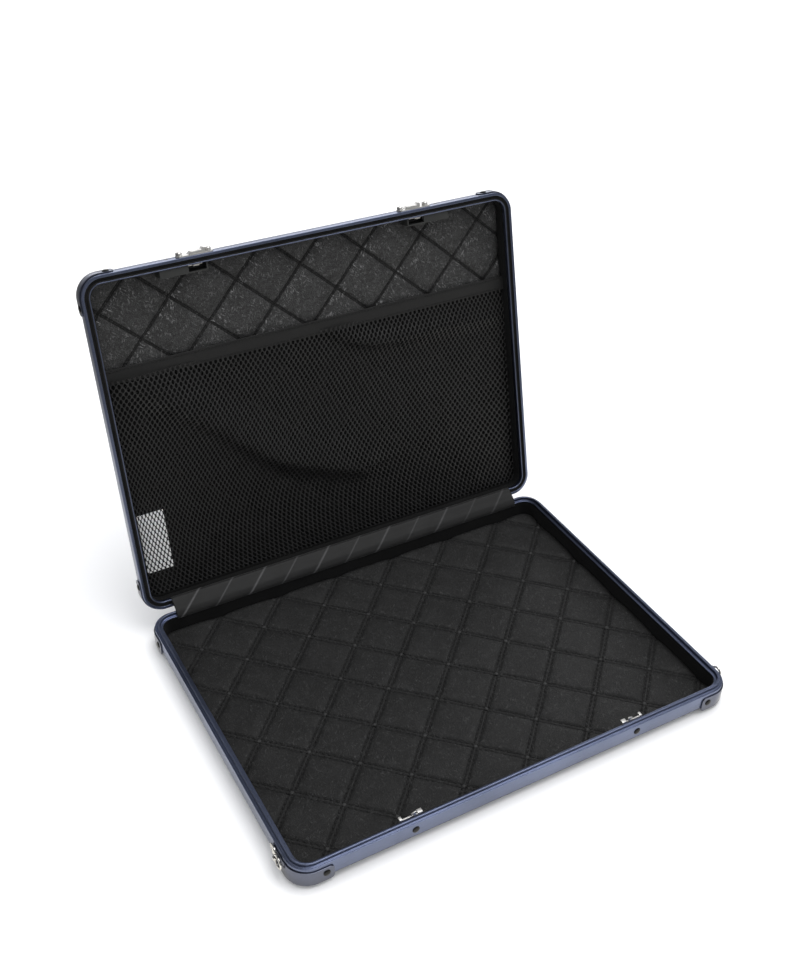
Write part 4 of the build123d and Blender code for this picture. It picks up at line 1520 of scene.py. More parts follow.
@dataclass
class QuiltedPad:
    """A foam pad under leatherette, quilted into diamonds by double rows of stitches."""

    shop: Workshop
    name: str
    node: str
    body: Body
    leather: Leatherette
    pose: Matrix | None = None
    slot: str = "lining_leatherette"
    inset: float = 6.9
    knotted: bool = True
    swell: float = 0.6
    puff: float = 2.0
    ridge: float = 0.4
    trench: float = 0.35
    fullness: float = 3.6
    edge_roll: float = 3.5
    hills: tuple[Pair, Pair] = ((0.16, 31.0), (0.07, 9.0))
    gather: float = 0.26
    dimple: float = 0.7
    grid_step: float = 0.85
    stitch_pitch: float = 4.2
    stitch_size: Pair = (2.8, 0.62)
    stitch_edge: float = 2.2
    stitch_sunk: float = 0.12
    knot_edge: float = 3.0
    knot: tuple[Pair, ...] = ((0.0, 0.85), (0.9, 0.72), (1.5, 0.35), (1.8, -0.1), (1.9, -0.5), (0.0, -0.5))
    pocket_from: float | None = None
    seed: int = 11

    def __post_init__(self) -> None:
        """Reads the pad's face and back from the model."""
        low, high = islands(self.node, self.pose)[0]
        up = self.body is Body.BASE
        self.lattice = self.leather.lattice
        self.out = 1 if up else -1
        self.face, self.back = (high[2], low[2]) if up else (low[2], high[2])

    def lift(self, x: Array, y: Array) -> Array:
        """How far the leatherette lies below the pad's full height.

        Args:
            x: Places along X.
            y: Places along Y.

        Returns:
            The drop at each place, in millimetres.
        """
        distances = self.lattice.distances(x, y)
        row = self.lattice.row_gap
        full, near, sewn = np.ones_like(x), np.zeros_like(x), np.zeros_like(x)
        for distance in distances:
            outside = np.maximum(distance - row, 0)
            full = full * (1 - np.exp(-outside / self.fullness))
            near = np.maximum(near, np.exp(-outside / 5.0))
            stands = self.ridge * np.exp(-((distance / 0.8) ** 2))
            stands = stands - self.trench * np.exp(-(((distance - row) / 0.7) ** 2))
            sewn = np.where(np.abs(stands) > np.abs(sewn), stands, sewn)
        full = full / (1 - math.exp(-19 / self.fullness)) ** 2
        uneven = sum(size * value_noise(x, y, cell, self.seed + i) for i, (size, cell) in enumerate(self.hills))
        drop = self.puff * (1 - np.minimum(full, 1)) - sewn - self._puckers(x, y, distances) * near
        drop = drop + uneven * (1 - near)
        if not self.knotted:
            drop = drop + self.dimple * np.exp(-(distances[0] ** 2 + distances[1] ** 2) / 9.0)
        edge = self.shop.plan.edge_distance(x, y, self.inset)
        rolled = 1 - np.sqrt(1 - 0.98 * np.clip(1 - edge / self.edge_roll, 0, 1) ** 2)
        return np.maximum(drop, 0) - self.swell + self.puff * 0.8 * rolled

    def _puckers(self, x: Array, y: Array, distances: tuple[Array, Array]) -> Array:
        """Small gathers that run away from the seams.

        Args:
            x: Places along X.
            y: Places along Y.
            distances: Distances to the two families of seams.

        Returns:
            Heights in millimetres, up and down about 0.
        """
        slope = math.atan2(self.lattice.half_pitch[1], self.lattice.half_pitch[0])
        gathers = np.zeros_like(x)
        for turn, distance, seed in ((-slope, distances[0], 5), (slope, distances[1], 6)):
            along, away = turned(x, y, turn)
            folds = value_noise(along / 2.3, away / 9.0, 1.0, self.seed + seed)
            gathers += self.gather * folds * np.exp(-np.maximum(distance - self.lattice.row_gap, 0) / 4.0)
        return gathers

    def _grid(self) -> tuple[Array, Array]:
        """Lays the pad's grid, whose rows are drawn in at the rounded corners.

        Returns:
            Places along X and along Y.
        """
        plan = self.shop.plan
        half_x, half_y = plan.half_width - self.inset, plan.half_depth - self.inset
        radius = plan.corner_radius - self.inset
        y = np.linspace(-half_y, half_y, int(2 * half_y / self.grid_step))
        past = np.maximum(np.abs(y) - (half_y - radius), 0)
        reach = half_x - radius + np.sqrt(np.maximum(radius**2 - past**2, 0))
        x = np.linspace(-1, 1, int(2 * half_x / self.grid_step))[None, :] * reach[:, None]
        return x, np.broadcast_to(y[:, None], x.shape).copy()

    def mesh(self) -> Mesh:
        """Builds the pad as a closed form: the quilted face, its sides and a flat back.

        Returns:
            The mesh, with its own flat coordinates.
        """
        x, y = self._grid()
        rows, columns = x.shape
        face = np.stack([x, y, self.face - self.out * self.lift(x, y)], axis=-1).reshape(-1, 3)
        rim = grid_rim(rows, columns)
        foot = face[rim].copy()
        foot[:, 2] = self.back
        under = len(face) + np.arange(len(rim))
        quads = grid_faces(rows, columns)
        faces = quads.tolist() + skirt(rim, under).tolist() + [under.tolist()]
        points = np.concatenate([face, foot])
        flat = np.column_stack(self.lattice.flow(points[:, 0], points[:, 1]))
        mesh = raw_mesh(self.name, points, (), faces, flat[[point for corners in faces for point in corners]])
        mesh.materials.append(self.leather.material())
        # Faces under the net take the darker leatherette, a painted shadow of the net.
        if self.pocket_from is not None:
            mesh.materials.append(self.shop.palette.leather_in_net_shadow.material())
            indices = np.zeros(len(mesh.polygons), np.int32)
            indices[: len(quads)] = face[quads[:, 0], 1] > self.pocket_from
            mesh.polygons.foreach_set("material_index", indices)
        close_up(mesh, 0)
        crisp_from(mesh, 70)
        return mesh

    def seam_lines(self) -> Mesh:
        """The rows that the stitches follow, lying on the leatherette.

        Returns:
            A mesh of lines, two for each seam.
        """
        plan, pitch, gap = self.shop.plan, self.lattice.half_pitch, self.lattice.row_gap
        reach = math.hypot(plan.half_width, plan.half_depth)
        steps = int(2 * reach / self.lattice.spacing) + 2
        run = np.arange(-2.2 * reach, 2.2 * reach, 2.1)
        runs = []
        for sign in (1, -1):
            along = np.array([pitch[0], -sign * pitch[1]]) / math.hypot(*pitch)
            away = np.array([-along[1], along[0]])
            rows = (index * self.lattice.spacing + row for index in range(-steps, steps + 1) for row in (-gap, gap))
            for off in rows:
                x, y = self.lattice.on_plan(*((away * off)[axis] + along[axis] * run for axis in (0, 1)))
                inside = plan.edge_distance(x, y, self.inset) > self.stitch_edge
                if inside.sum() >= 3:
                    x, y = x[inside], y[inside]
                    z = self.face - self.out * (self.lift(x, y) - self.stitch_sunk)
                    runs.append(np.column_stack([x, y, z]))
        return lines_mesh(f"{self.name}_seams", runs)

    def build(self) -> None:
        """Builds the pad, its stitches and the knots where the seams cross."""
        shop, palette = self.shop, self.shop.palette
        pad = place_piece(self.name, self.mesh(), self.body, None, self.pose, self.node)
        name, stitch = f"{self.name}_stitches", stitch_mesh(f"{self.name}_stitch", *self.stitch_size)
        sizes = {"Pitch": self.stitch_pitch * MM, "Up": (0.0, 0.0, float(self.out)), "Seed": self.seed}
        stitches = shop.stitches.bake(name, self.seam_lines(), stitch, palette.thread, **sizes)
        place_piece(name, stitches, self.body, None, self.pose)
        if self.knotted:
            self._knots()

    def _knots(self) -> None:
        """Builds the small raised knots at the seams' crossings."""
        pitch, height = self.lattice.half_pitch, self.face - self.out * (self.puff - self.swell) * 0.85
        places = []
        for i, j in ((i, j) for i in range(-14, 15) for j in range(-14, 15) if (i + j) % 2 == 0):
            x, y = (float(part) for part in self.lattice.on_plan(pitch[0] * i, pitch[1] * j))
            if self.shop.plan.edge_distance(x, y, self.inset) >= self.knot_edge:
                places.append((x, y, height))
        name, dome = f"{self.name}_knots", lathed(f"{self.name}_knot", list(self.knot), 12)
        seed = points_mesh(f"{self.name}_crossings", places, [(0, 0, self.out)] * len(places))
        knots = self.shop.copies.bake(name, seed, dome, self.shop.palette.knot)
        place_piece(name, knots, self.body, None, self.pose)


# ---- Net pocket ----


@dataclass(frozen=True)
class Swell:
    """A fold where the net stands off the pad: its crest's line, its height, and its reach to each side."""

    crest: tuple[Pair, ...]
    height: float
    towards_mouth: float
    towards_back: float

    def rise(self, x: Array, y: Array) -> Array:
        """How far the fold lifts each place.

        Args:
            x: Places along X.
            y: Places along Y.

        Returns:
            Heights in millimetres.
        """
        crest = np.array(self.crest, float)
        along, knots = np.linspace(0, 1, 61), np.linspace(0, 1, len(crest))
        line = np.column_stack([np.interp(along, knots, crest[:, axis]) for axis in (0, 1)])
        for _ in range(6):
            line[1:-1] = (line[:-2] + 2 * line[1:-1] + line[2:]) / 4
        away = (x[:, None] - line[None, :, 0]) ** 2 + (y[:, None] - line[None, :, 1]) ** 2
        nearest = np.argmin(away, axis=1)
        distance = np.sqrt(away[np.arange(len(x)), nearest])
        reach = np.where(y > line[nearest, 1], self.towards_back, self.towards_mouth)
        fade = np.sin(math.pi * np.clip(0.06 + 0.88 * along[nearest], 0, 1)) ** 0.45
        return self.height * fade * np.exp(-((distance / reach) ** 2))


@dataclass
class NetPocket:
    """A knitted net over the lid's pad, hemmed at its sides, with a bound mouth and a bare label behind it."""

    shop: Workshop
    pitch_x: float = 4.4
    pitch_y: float = 3.45
    hole_x: float = 1.28
    hole_y: float = 2.15
    yarn_rise: float = 0.4
    net_edge: float = 1.4
    inset: float = 6.9
    hem: float = 2.2
    billow: float = 0.7
    billow_lean: float = -28.0
    held_width: float = 14.0
    pulled: Pair = (-26.0, -9.0)
    mouth_bow: float = 0.6
    stitch_margin: float = 1.7
    stitch_pitch: float = 3.0
    stitch_size: Pair = (2.1, 0.45)
    label_thickness: float = 0.3
    swells: tuple[Swell, ...] = (
        Swell(((-186, -60), (-154, -39), (-123, -16), (-89, 15), (-52, 46), (-6, 66), (24, 76)), 10.0, 24.0, 9.5),
        Swell(((12, -56), (30, -44), (50, -37), (87, -34), (129, -34), (184, -31)), 6.0, 10.0, 7.0),
    )

    def __post_init__(self) -> None:
        """Reads the pocket's places from the model."""
        plan = self.shop.plan
        net, binding = islands("mesh_pocket", plan.opening)[0], islands("pocket_binding", plan.opening)[0]
        self.level = (net[0][2] + net[1][2]) / 2
        self.back = net[1][1]
        self.mouth, self.binding_end = binding[0][1], binding[1][1]
        self.binding_width = self.binding_end - self.mouth
        self.half_thick = (binding[1][2] - binding[0][2]) / 2
        self.reach = plan.half_width - self.inset

    def folds(self, x: Array, y: Array) -> Array:
        """How far the net swells away from the pad, flat at its sewn edges.

        Args:
            x: Places along X.
            y: Places along Y.

        Returns:
            Heights in millimetres, outward of the pad.
        """
        along, away = turned(x, y, math.radians(self.billow_lean))
        broad = value_noise(along / 2.4, away, 30.0, 21) + 0.45 * value_noise(along / 1.6, away, 13.0, 22)
        from_mouth = np.clip((y - self.binding_end) / 22, 0, 1)
        held = np.clip(self.shop.plan.edge_distance(x, y, self.inset) / self.held_width, 0, 1) ** 0.7
        lifted = self.billow * (0.25 + 0.75 * from_mouth) * np.clip(broad, -0.8, 1.6)
        for swell in self.swells:
            lifted = lifted + swell.rise(x, y)
        return held * lifted

    def drift(self, x: Array, y: Array) -> Array:
        """How far the net is pulled askew in its own plane, away from its sewn edges.

        Args:
            x: Places along X.
            y: Places along Y.

        Returns:
            Shifts along X and Y, in millimetres.
        """
        across = np.clip(0.5 + x / (2 * self.reach), 0, 1)
        down = np.clip((y - self.binding_end) / (self.back - self.binding_end), 0, 1)
        pull = np.sin(math.pi * across) ** 0.8 * np.sin(math.pi * down**1.6)
        return np.stack([part * pull for part in self.pulled], axis=-1)

    def cell(self) -> Mesh:
        """One hole of the net with the half-yarns round it.

        Returns:
            The mesh: twelve quads from the hole's rim up to the yarns' ridges.
        """
        half_x, far, near = self.pitch_x / 2, self.pitch_y * 2 / 3, self.pitch_y / 3
        hexagon = [(0, far), (half_x, near), (half_x, -near), (0, -far), (-half_x, -near), (-half_x, near)]
        outer = []
        for corner, after in zip(hexagon, hexagon[1:] + hexagon[:1]):
            outer += [corner, ((corner[0] + after[0]) / 2, (corner[1] + after[1]) / 2)]
        angles = [math.atan2(y / self.hole_y, x / self.hole_x) for x, y in outer]
        inner = [(self.hole_x * math.cos(angle), self.hole_y * math.sin(angle), 0.0) for angle in angles]
        faces = [[step, (step + 1) % 12, 12 + (step + 1) % 12, 12 + step] for step in range(12)]
        return raw_mesh("net_cell", [(*place, -self.yarn_rise) for place in outer] + inner, (), faces)

    def net(self) -> Mesh:
        """Knits the net: one cell on each point of a staggered grid, merged and swelled.

        Returns:
            The net's mesh, as it lies when the lid is shut.
        """
        plan, places = self.shop.plan, []
        columns = int(2 * plan.half_width / self.pitch_x)
        for row in range(int((self.back - self.binding_end) / self.pitch_y) + 1):
            y = self.binding_end - 0.6 * self.pitch_y + row * self.pitch_y
            shift = self.pitch_x / 2 * (row % 2)
            xs = [column * self.pitch_x + shift for column in range(-columns // 2, columns // 2 + 1)]
            places += [(x, y, self.level) for x in xs if plan.edge_distance(x, y, self.inset) > self.net_edge]
        seed = points_mesh("net_holes", places, [(0, 0, 1)] * len(places))
        mesh = self.shop.copies.bake("pocket_net", seed, self.cell(), self.shop.palette.net)
        with editing(mesh) as work:
            bmesh.ops.remove_doubles(work, verts=work.verts, dist=0.05 * MM)
            bmesh.ops.recalc_face_normals(work, faces=work.faces)
            if sum(face.normal.z for face in work.faces) > 0:
                bmesh.ops.reverse_faces(work, faces=work.faces)
        points = np.zeros(len(mesh.vertices) * 3)
        mesh.vertices.foreach_get("co", points)
        points = points.reshape(-1, 3)
        points[:, :2] += self.drift(points[:, 0] / MM, points[:, 1] / MM) * MM
        points[:, 2] -= self.folds(points[:, 0] / MM, points[:, 1] / MM) * MM
        mesh.vertices.foreach_set("co", points.ravel())
        mesh.update()
        mesh.shade_smooth()
        return mesh

    def binding(self) -> Mesh:
        """The folded tape along the mouth, with a fold line near its free edge.

        Returns:
            The tape's mesh.
        """
        width, half = self.binding_width, self.half_thick
        fold = [(0.0, -half), (0.9, -half), (1.1, 0.3 - half), (1.35, -half)]
        section = softened([*fold, (width, -half), (width, half), (0.0, half)], 0.45)
        loop = section + [section[0]]
        x = np.linspace(-self.reach, self.reach, 120)
        return tube("pocket_binding_tape", np.stack([self._on_tape(x, y, z) for y, z in loop], axis=1), x, loop)

    def _on_tape(self, x: Array, y: float, z: float) -> Array:
        """Places along one line of the tape, which bows and swells a little towards the mouth.

        Args:
            x: Places along the mouth.
            y: The line's distance from the tape's free edge.
            z: The line's height above the tape's middle.

        Returns:
            The places, in millimetres.
        """
        share = 1 - y / self.binding_width
        bow = self.mouth_bow * value_noise(x, x * 0, 70.0, 31) * (1 - (x / self.reach) ** 2)
        swell = 0.5 * (1 - (x / self.reach) ** 4) * np.abs(value_noise(x, x * 0 + 9, 45.0, 32))
        return np.stack([x, self.mouth + y + bow * share, self.level + z - swell * share], axis=-1)

    def binding_stitches(self) -> Mesh:
        """The two rows of stitches along the tape.

        Returns:
            The stitches' mesh.
        """
        x = np.linspace(3 - self.reach, self.reach - 3, 150)
        margins = self.stitch_margin, self.binding_width - self.stitch_margin
        rows = [self._on_tape(x, y, -self.half_thick) for y in margins]
        sizes = {"Pitch": self.stitch_pitch * MM, "Up": (0.0, 0.0, -1.0), "Seed": 5}
        seams, stitch = lines_mesh("binding_seams", rows), stitch_mesh("binding_stitch", *self.stitch_size)
        return self.shop.stitches.bake("pocket_binding_stitches", seams, stitch, self.shop.palette.thread, **sizes)

    def hem_tape(self) -> Mesh:
        """The narrow tape that holds the net down along its sides and back.

        Returns:
            The hem's mesh.
        """
        near, far = self.inset, self.inset + self.hem
        section = softened([(near, -0.1), (far, -0.1), (far, -0.9), (near, -0.9)], 0.3, 2)
        mesh = swept_round("pocket_hem", self.shop.plan, section, self.level + 0.5)
        with editing(mesh) as work:
            front = [face for face in work.faces if face.calc_center_median().y / MM < self.binding_end - 4]
            bmesh.ops.delete(work, geom=front, context="FACES")
        return mesh

    def label(self, pad: QuiltedPad) -> Mesh:
        """The bare label, which lies on the quilted pad.

        Args:
            pad: The pad that it lies on.

        Returns:
            The label's mesh.
        """
        low, high = islands("pocket_label", self.shop.plan.opening)[0]
        x, y = (part.copy() for part in np.meshgrid(np.linspace(low[0], high[0], 31), np.linspace(low[1], high[1], 61)))
        smooth = np.minimum(pad.lift(x, y), 0.25)
        heights = (pad.face - pad.out * (smooth - off) for off in (self.label_thickness, 0.05))
        layers = [np.stack([x, y, z], axis=-1) for z in heights]
        faces, rim = grid_faces(*x.shape), grid_rim(*x.shape)
        every = faces.tolist() + (faces[:, ::-1] + x.size).tolist() + skirt(rim, rim + x.size).tolist()
        return mesh_of("pocket_bare_label", np.concatenate([layer.reshape(-1, 3) for layer in layers]), every)

    def build(self, pad: QuiltedPad) -> None:
        """Builds the net, its tapes and the label behind it.

        Args:
            pad: The lid's pad, which the label lies on.
        """
        pose, palette, lid, slot = self.shop.plan.opening, self.shop.palette, Body.LID, "binding_fabric"
        net = place_piece("pocket_net", self.net(), lid, None, pose, "mesh_pocket")
        tape = place_piece("pocket_binding_tape", self.binding(), lid, palette.tape, pose, "pocket_binding")
        hem = place_piece("pocket_hem", self.hem_tape(), lid, palette.flock, pose)
        place_piece("pocket_binding_stitches", self.binding_stitches(), lid, None, pose)
        place_piece("pocket_bare_label", self.label(pad), lid, palette.label, pose, "pocket_label")


# ---- Hinge ----


@dataclass
class HingeStrip:
    """The satin strip that hides the hinge from inside and checks the lid, creased where it was wound."""

    shop: Workshop
    name: str = "hinge_satin_strip"
    thickness: float = 0.5
    hem: float = 2.4
    cover: float = 0.3
    tongue_inset: float = 4.6
    tongue_height: float = 2.5
    ledge_drop: float = 0.5
    first_crease: float = -148.0
    crease_pitch: float = 31.25
    crease_count: int = 11
    lean: float = 17.5
    crease_rise: float = 0.22
    waviness: float = 0.18

    def path(self) -> Path:
        """The strip's corners, from the base's ledge over its tongue to the opened lid's lip.

        Returns:
            Points along Y and Z, in millimetres.
        """
        plan, cover = self.shop.plan, self.cover
        ledge = plan.half_depth - plan.frame_depth - cover
        shelf = plan.base_rim - self.ledge_drop
        return [
            (ledge, shelf - self.hem),
            (ledge, shelf + cover),
            (plan.half_depth - self.tongue_inset - cover, plan.base_rim + self.tongue_height + 2 * cover),
            plan.opened(ledge - cover, plan.lid_rim - cover),
            plan.opened(ledge - cover, plan.lid_rim + self.hem),
        ]

    def line(self, step: float = 0.9) -> Array:
        """The strip's line, softly bent at its corners.

        Args:
            step: The greatest distance between its points.

        Returns:
            Points along Y and Z at even steps, in millimetres.
        """
        corners = [np.array(corner) for corner in self.path()]
        points = [corners[0]]
        for before, corner, after in zip(corners, corners[1:], corners[2:]):
            points += bend(before, corner, after, 1.4, 0.4, 5)
        points = np.array([*points, corners[-1]])
        lengths = distance_along(points)
        places = np.linspace(0, lengths[-1], int(lengths[-1] / step) + 1)
        return np.column_stack([np.interp(places, lengths, points[:, axis]) for axis in (0, 1)])

    def creases(self, x: Array, share: Array) -> Array:
        """How strongly each place lies on a crease.

        Args:
            x: Places along the strip.
            share: How far each place is from the base's ledge, at 0, to the lid's lip, at 1.

        Returns:
            The creases' strength, from 0 to 1.
        """
        strength = np.zeros_like(x)
        for index in range(self.crease_count):
            centre = self.first_crease + self.crease_pitch * index - self.lean * (1 - share)
            width, weight = (0.95, 0.9) if index % 2 == 0 else (0.6, 0.75)
            weight *= 1 - 0.055 * index
            strength = np.maximum(strength, weight * np.exp(-(((x - centre) / width) ** 2)))
        return strength

    def build(self) -> None:
        """Builds the strip, bent between the base and the lid."""
        low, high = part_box("hinge_strip")
        half = (high.x - low.x) / 2 / MM
        line = self.line()
        columns = int(2 * half / 0.6)
        x = np.broadcast_to(np.linspace(-half, half, columns)[None, :], (len(line), columns))
        share = np.broadcast_to(np.linspace(0, 1, len(line))[:, None], x.shape)
        crease = self.creases(x, (share - 0.14) / 0.74)
        tangent = np.gradient(line, axis=0)
        tangent /= np.linalg.norm(tangent, axis=1)[:, None]
        rise = self.crease_rise * crease + self.waviness * value_noise(x, share * 30, 17.0, 51)
        y = line[:, None, 0] - tangent[:, None, 1] * rise
        z = line[:, None, 1] + tangent[:, None, 0] * rise
        faces = grid_faces(len(line), columns)
        flow = np.column_stack([x.ravel(), share.ravel() * 26])[faces.ravel()]
        mesh = raw_mesh(self.name, np.stack([x, y, z], axis=-1).reshape(-1, 3), (), faces.tolist(), flow)
        # The crease strength also goes to the shader, where it lays a painted highlight along each crease.
        mesh.attributes.new("crease", "FLOAT", "POINT").data.foreach_set("value", crease.ravel().astype(np.float32))
        mesh.shade_smooth()
        mesh.materials.append(self.shop.palette.strip.material())
        strip = bpy.data.objects.new(self.name, mesh)
        bpy.context.scene.collection.objects.link(strip)
        thicken = strip.modifiers.new("Thickness", "SOLIDIFY")
        thicken.thickness, thicken.offset = self.thickness * MM, 0.0
        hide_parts("hinge_strip")
        over, lip = ((0.0, y * MM, z * MM) for y, z in self.path()[2:4])
        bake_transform(strip)
        LOG.info("%s: %d faces between base and lid", self.name, len(mesh.polygons))


# ---- Metal fittings ----


@dataclass
class HingeMetal:
    """The piano hinge's two leaves and its pin."""

    shop: Workshop
    edge: float = 0.12

    def build(self) -> None:
        """Dresses the leaves and the pin."""
        steel = self.shop.palette.steel
        machined("hinge_leaf_base", self.edge, Body.BASE, steel)
        machined("hinge_leaf_lid", self.edge, Body.LID, steel)
        dress_node("hinge_pin", steel)


@dataclass
class Guards:
    """The eight bent corner guards."""

    shop: Workshop
    edge: float = 0.28

    def build(self) -> None:
        """Dresses the guards."""
        for body in (Body.BASE, Body.LID):
            for corner in (f"{end}_{side.value}" for end in ("front", "back") for side in Side):
                machined(f"{body.value}_guard_{corner}", self.edge, body, self.shop.palette.guard)


@dataclass
class StrapRings:
    """The strap lugs and the wire rings that hang in their eyes."""

    shop: Workshop
    edge: float = 0.15
    turns: int = 72
    wire_steps: int = 18

    def ring(self, node: str) -> Mesh:
        """A round wire ring, butted at its back.

        Args:
            node: The ring's node, which gives its place and size.

        Returns:
            The ring's mesh.
        """
        low, high = (np.array(corner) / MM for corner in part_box(node))
        middle = (low + high) / 2
        wire = (high[0] - low[0]) / 2
        radius = (high[2] - low[2]) / 2 - wire
        points = []
        for angle in (2 * math.pi * turn / self.turns for turn in range(self.turns)):
            for around in (2 * math.pi * step / self.wire_steps for step in range(self.wire_steps + 1)):
                reach = radius + wire * math.cos(around)
                points.append((wire * math.sin(around), reach * math.cos(angle), reach * math.sin(angle)))
        faces = grid_faces(self.turns, self.wire_steps + 1, wrap=True).tolist()
        return mesh_of(f"{node}_wire", middle + np.array(points), faces)

    def build(self) -> None:
        """Builds the rings and dresses the lugs."""
        nickel = self.shop.palette.nickel
        for side in Side:
            ring = f"strap_ring_{side.value}"
            place_piece(f"{ring}_wire", self.ring(ring), Body(f"ring_{side.value}"), nickel, None, ring)
            machined(f"strap_lug_{side.value}", self.edge, Body.BASE, nickel)


@dataclass
class Latches:
    """The strikes on the base, and the plates, sliders, bolts, housings and springs of the lid's latches."""

    shop: Workshop
    plate_edge: float = 0.3
    small_edge: float = 0.14

    def build(self) -> None:
        """Dresses both latches."""
        satin, housing = self.shop.palette.satin, self.shop.palette.housing
        for side in Side:
            moving = Body(f"latch_{side.value}")
            machined(f"strike_{side.value}", self.small_edge, Body.BASE, satin)
            machined(f"latch_plate_{side.value}", self.plate_edge, Body.LID, satin)
            machined(f"latch_button_{side.value}", self.plate_edge, moving, satin)
            machined(f"latch_bolt_{side.value}", self.small_edge, moving, satin)
            machined(f"latch_housing_{side.value}", self.plate_edge, Body.LID, housing)
            self._spring(side)

    def _spring(self, side: Side) -> None:
        """Dresses a latch's coil spring, which shortens as its bolt is drawn back, with a rigid copy of its mesh.

        Args:
            side: The latch's side.
        """
        node, joint = f"latch_spring_{side.value}", f"latch_slide_{side.value}"
        mesh = FRAME["nodes"][node].data.copy()
        spring = place_piece(f"{node}_coil", mesh, Body.LID, self.shop.palette.steel, None, node)
        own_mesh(spring)


@dataclass
class Rivets:
    """Every riveted head on the case: low domes, and the latches' turned bosses.

    A boss's outline gives a share of its radius, a share of its height, and a step added to the height: a
    bevelled cap with a dimple, a waist and a collar.
    """

    shop: Workshop
    rim: float = 0.12
    foot: float = 0.3
    dome_angles: tuple[int, ...] = (0, 15, 30, 45, 60, 72, 82, 88)
    boss_shares: tuple[tuple[float, float, float], ...] = (
        (0.0, 1.0, -0.25), (0.22, 1.0, -0.2), (0.3, 1.0, -0.02), (0.38, 1.0, 0.0), (0.72, 1.0, 0.0),
        (0.8, 1.0, -0.06), (0.97, 0.72, 0.0), (1.0, 0.68, 0.0), (1.0, 0.42, 0.0), (0.9, 0.38, 0.0),
        (0.88, 0.24, 0.0), (0.98, 0.18, 0.0), (1.0, 0.12, 0.0), (1.0, 0.0, -0.2), (0.0, 0.0, -0.2),
    )

    def dome(self, radius: float, height: float) -> Path:
        """A low dome with a thin foot.

        Args:
            radius: The head's radius.
            height: The head's height.

        Returns:
            The outline, from the top of the axis down.
        """
        angles = [math.radians(angle) for angle in self.dome_angles]
        crown = [(radius * math.sin(a), self.rim + (height - self.rim) * math.cos(a)) for a in angles]
        return [*crown, (radius, self.rim / 2), (radius, -self.foot), (0.0, -self.foot)]

    def set_heads(self, node: str, body: Body, height: float, finish: Finish, boss: bool = False) -> None:
        """Sets a head on every rivet of a node.

        Args:
            node: The node whose rivets they are.
            body: The body that they ride on.
            height: How far the heads stand out.
            finish: Their finish.
            boss: Whether the heads are turned bosses rather than domes.
        """
        plan = self.shop.plan
        pose = plan.opening if body is Body.LID else None
        places, facing = [], []
        for low, high in islands(node, pose):
            seat = (low + high) / 2
            radius = (high[2] - low[2]) / 2
            axis = 0 if abs(seat[0]) > plan.half_width - 8 else 1
            way = 1 if seat[axis] > 0 else -1
            seat[axis] = (high[axis] if way > 0 else low[axis]) - way * height
            places.append(seat)
            facing.append(way * np.eye(3)[axis])
        turned_boss = [(radius * share, height * part + step) for share, part, step in self.boss_shares]
        head = lathed(f"{node}_head", *((turned_boss, 20) if boss else (self.dome(radius, height), 32)))
        seed = points_mesh(f"{node}_seats", places, facing)
        mesh = self.shop.copies.bake(f"{node}_heads", seed, head, finish)
        place_piece(f"{node}_heads", mesh, body, None, pose, node)

    def build(self) -> None:
        """Sets all the heads."""
        palette, base, lid = self.shop.palette, Body.BASE, Body.LID
        self.set_heads("base_guard_rivets", base, 1.1, palette.dark_rivet)
        self.set_heads("strap_lug_rivets", base, 1.1, palette.nickel)
        self.set_heads("strike_rivets", base, 1.1, palette.dark_rivet)
        self.set_heads("hinge_rivets_base", base, 0.8, palette.steel)
        self.set_heads("lid_guard_rivets", lid, 1.1, palette.dark_rivet)
        self.set_heads("hinge_rivets_lid", lid, 0.8, palette.steel)
        self.set_heads("latch_rivets", lid, 2.6, palette.satin, boss=True)
        dress_node("housing_rivets", palette.dark_rivet)


# ---- Studio ----


@dataclass(frozen=True)
class Softbox:
    """One soft light: where it hangs, what it points at, its width and height, and its power in watts."""

    name: str
    place: tuple[float, float, float]
    target: tuple[float, float, float]
    size: Pair
    power: float

    def hang(self) -> None:
        """Hangs the light."""
        light = bpy.data.lights.new(self.name, "AREA")
        light.shape = "RECTANGLE"
        light.size, light.size_y = self.size
        light.energy = self.power
        lamp = bpy.data.objects.new(self.name, light)
        lamp.location = self.place
        lamp.rotation_euler = (Vector(self.target) - Vector(self.place)).to_track_quat("-Z", "Y").to_euler()
        bpy.context.scene.collection.objects.link(lamp)


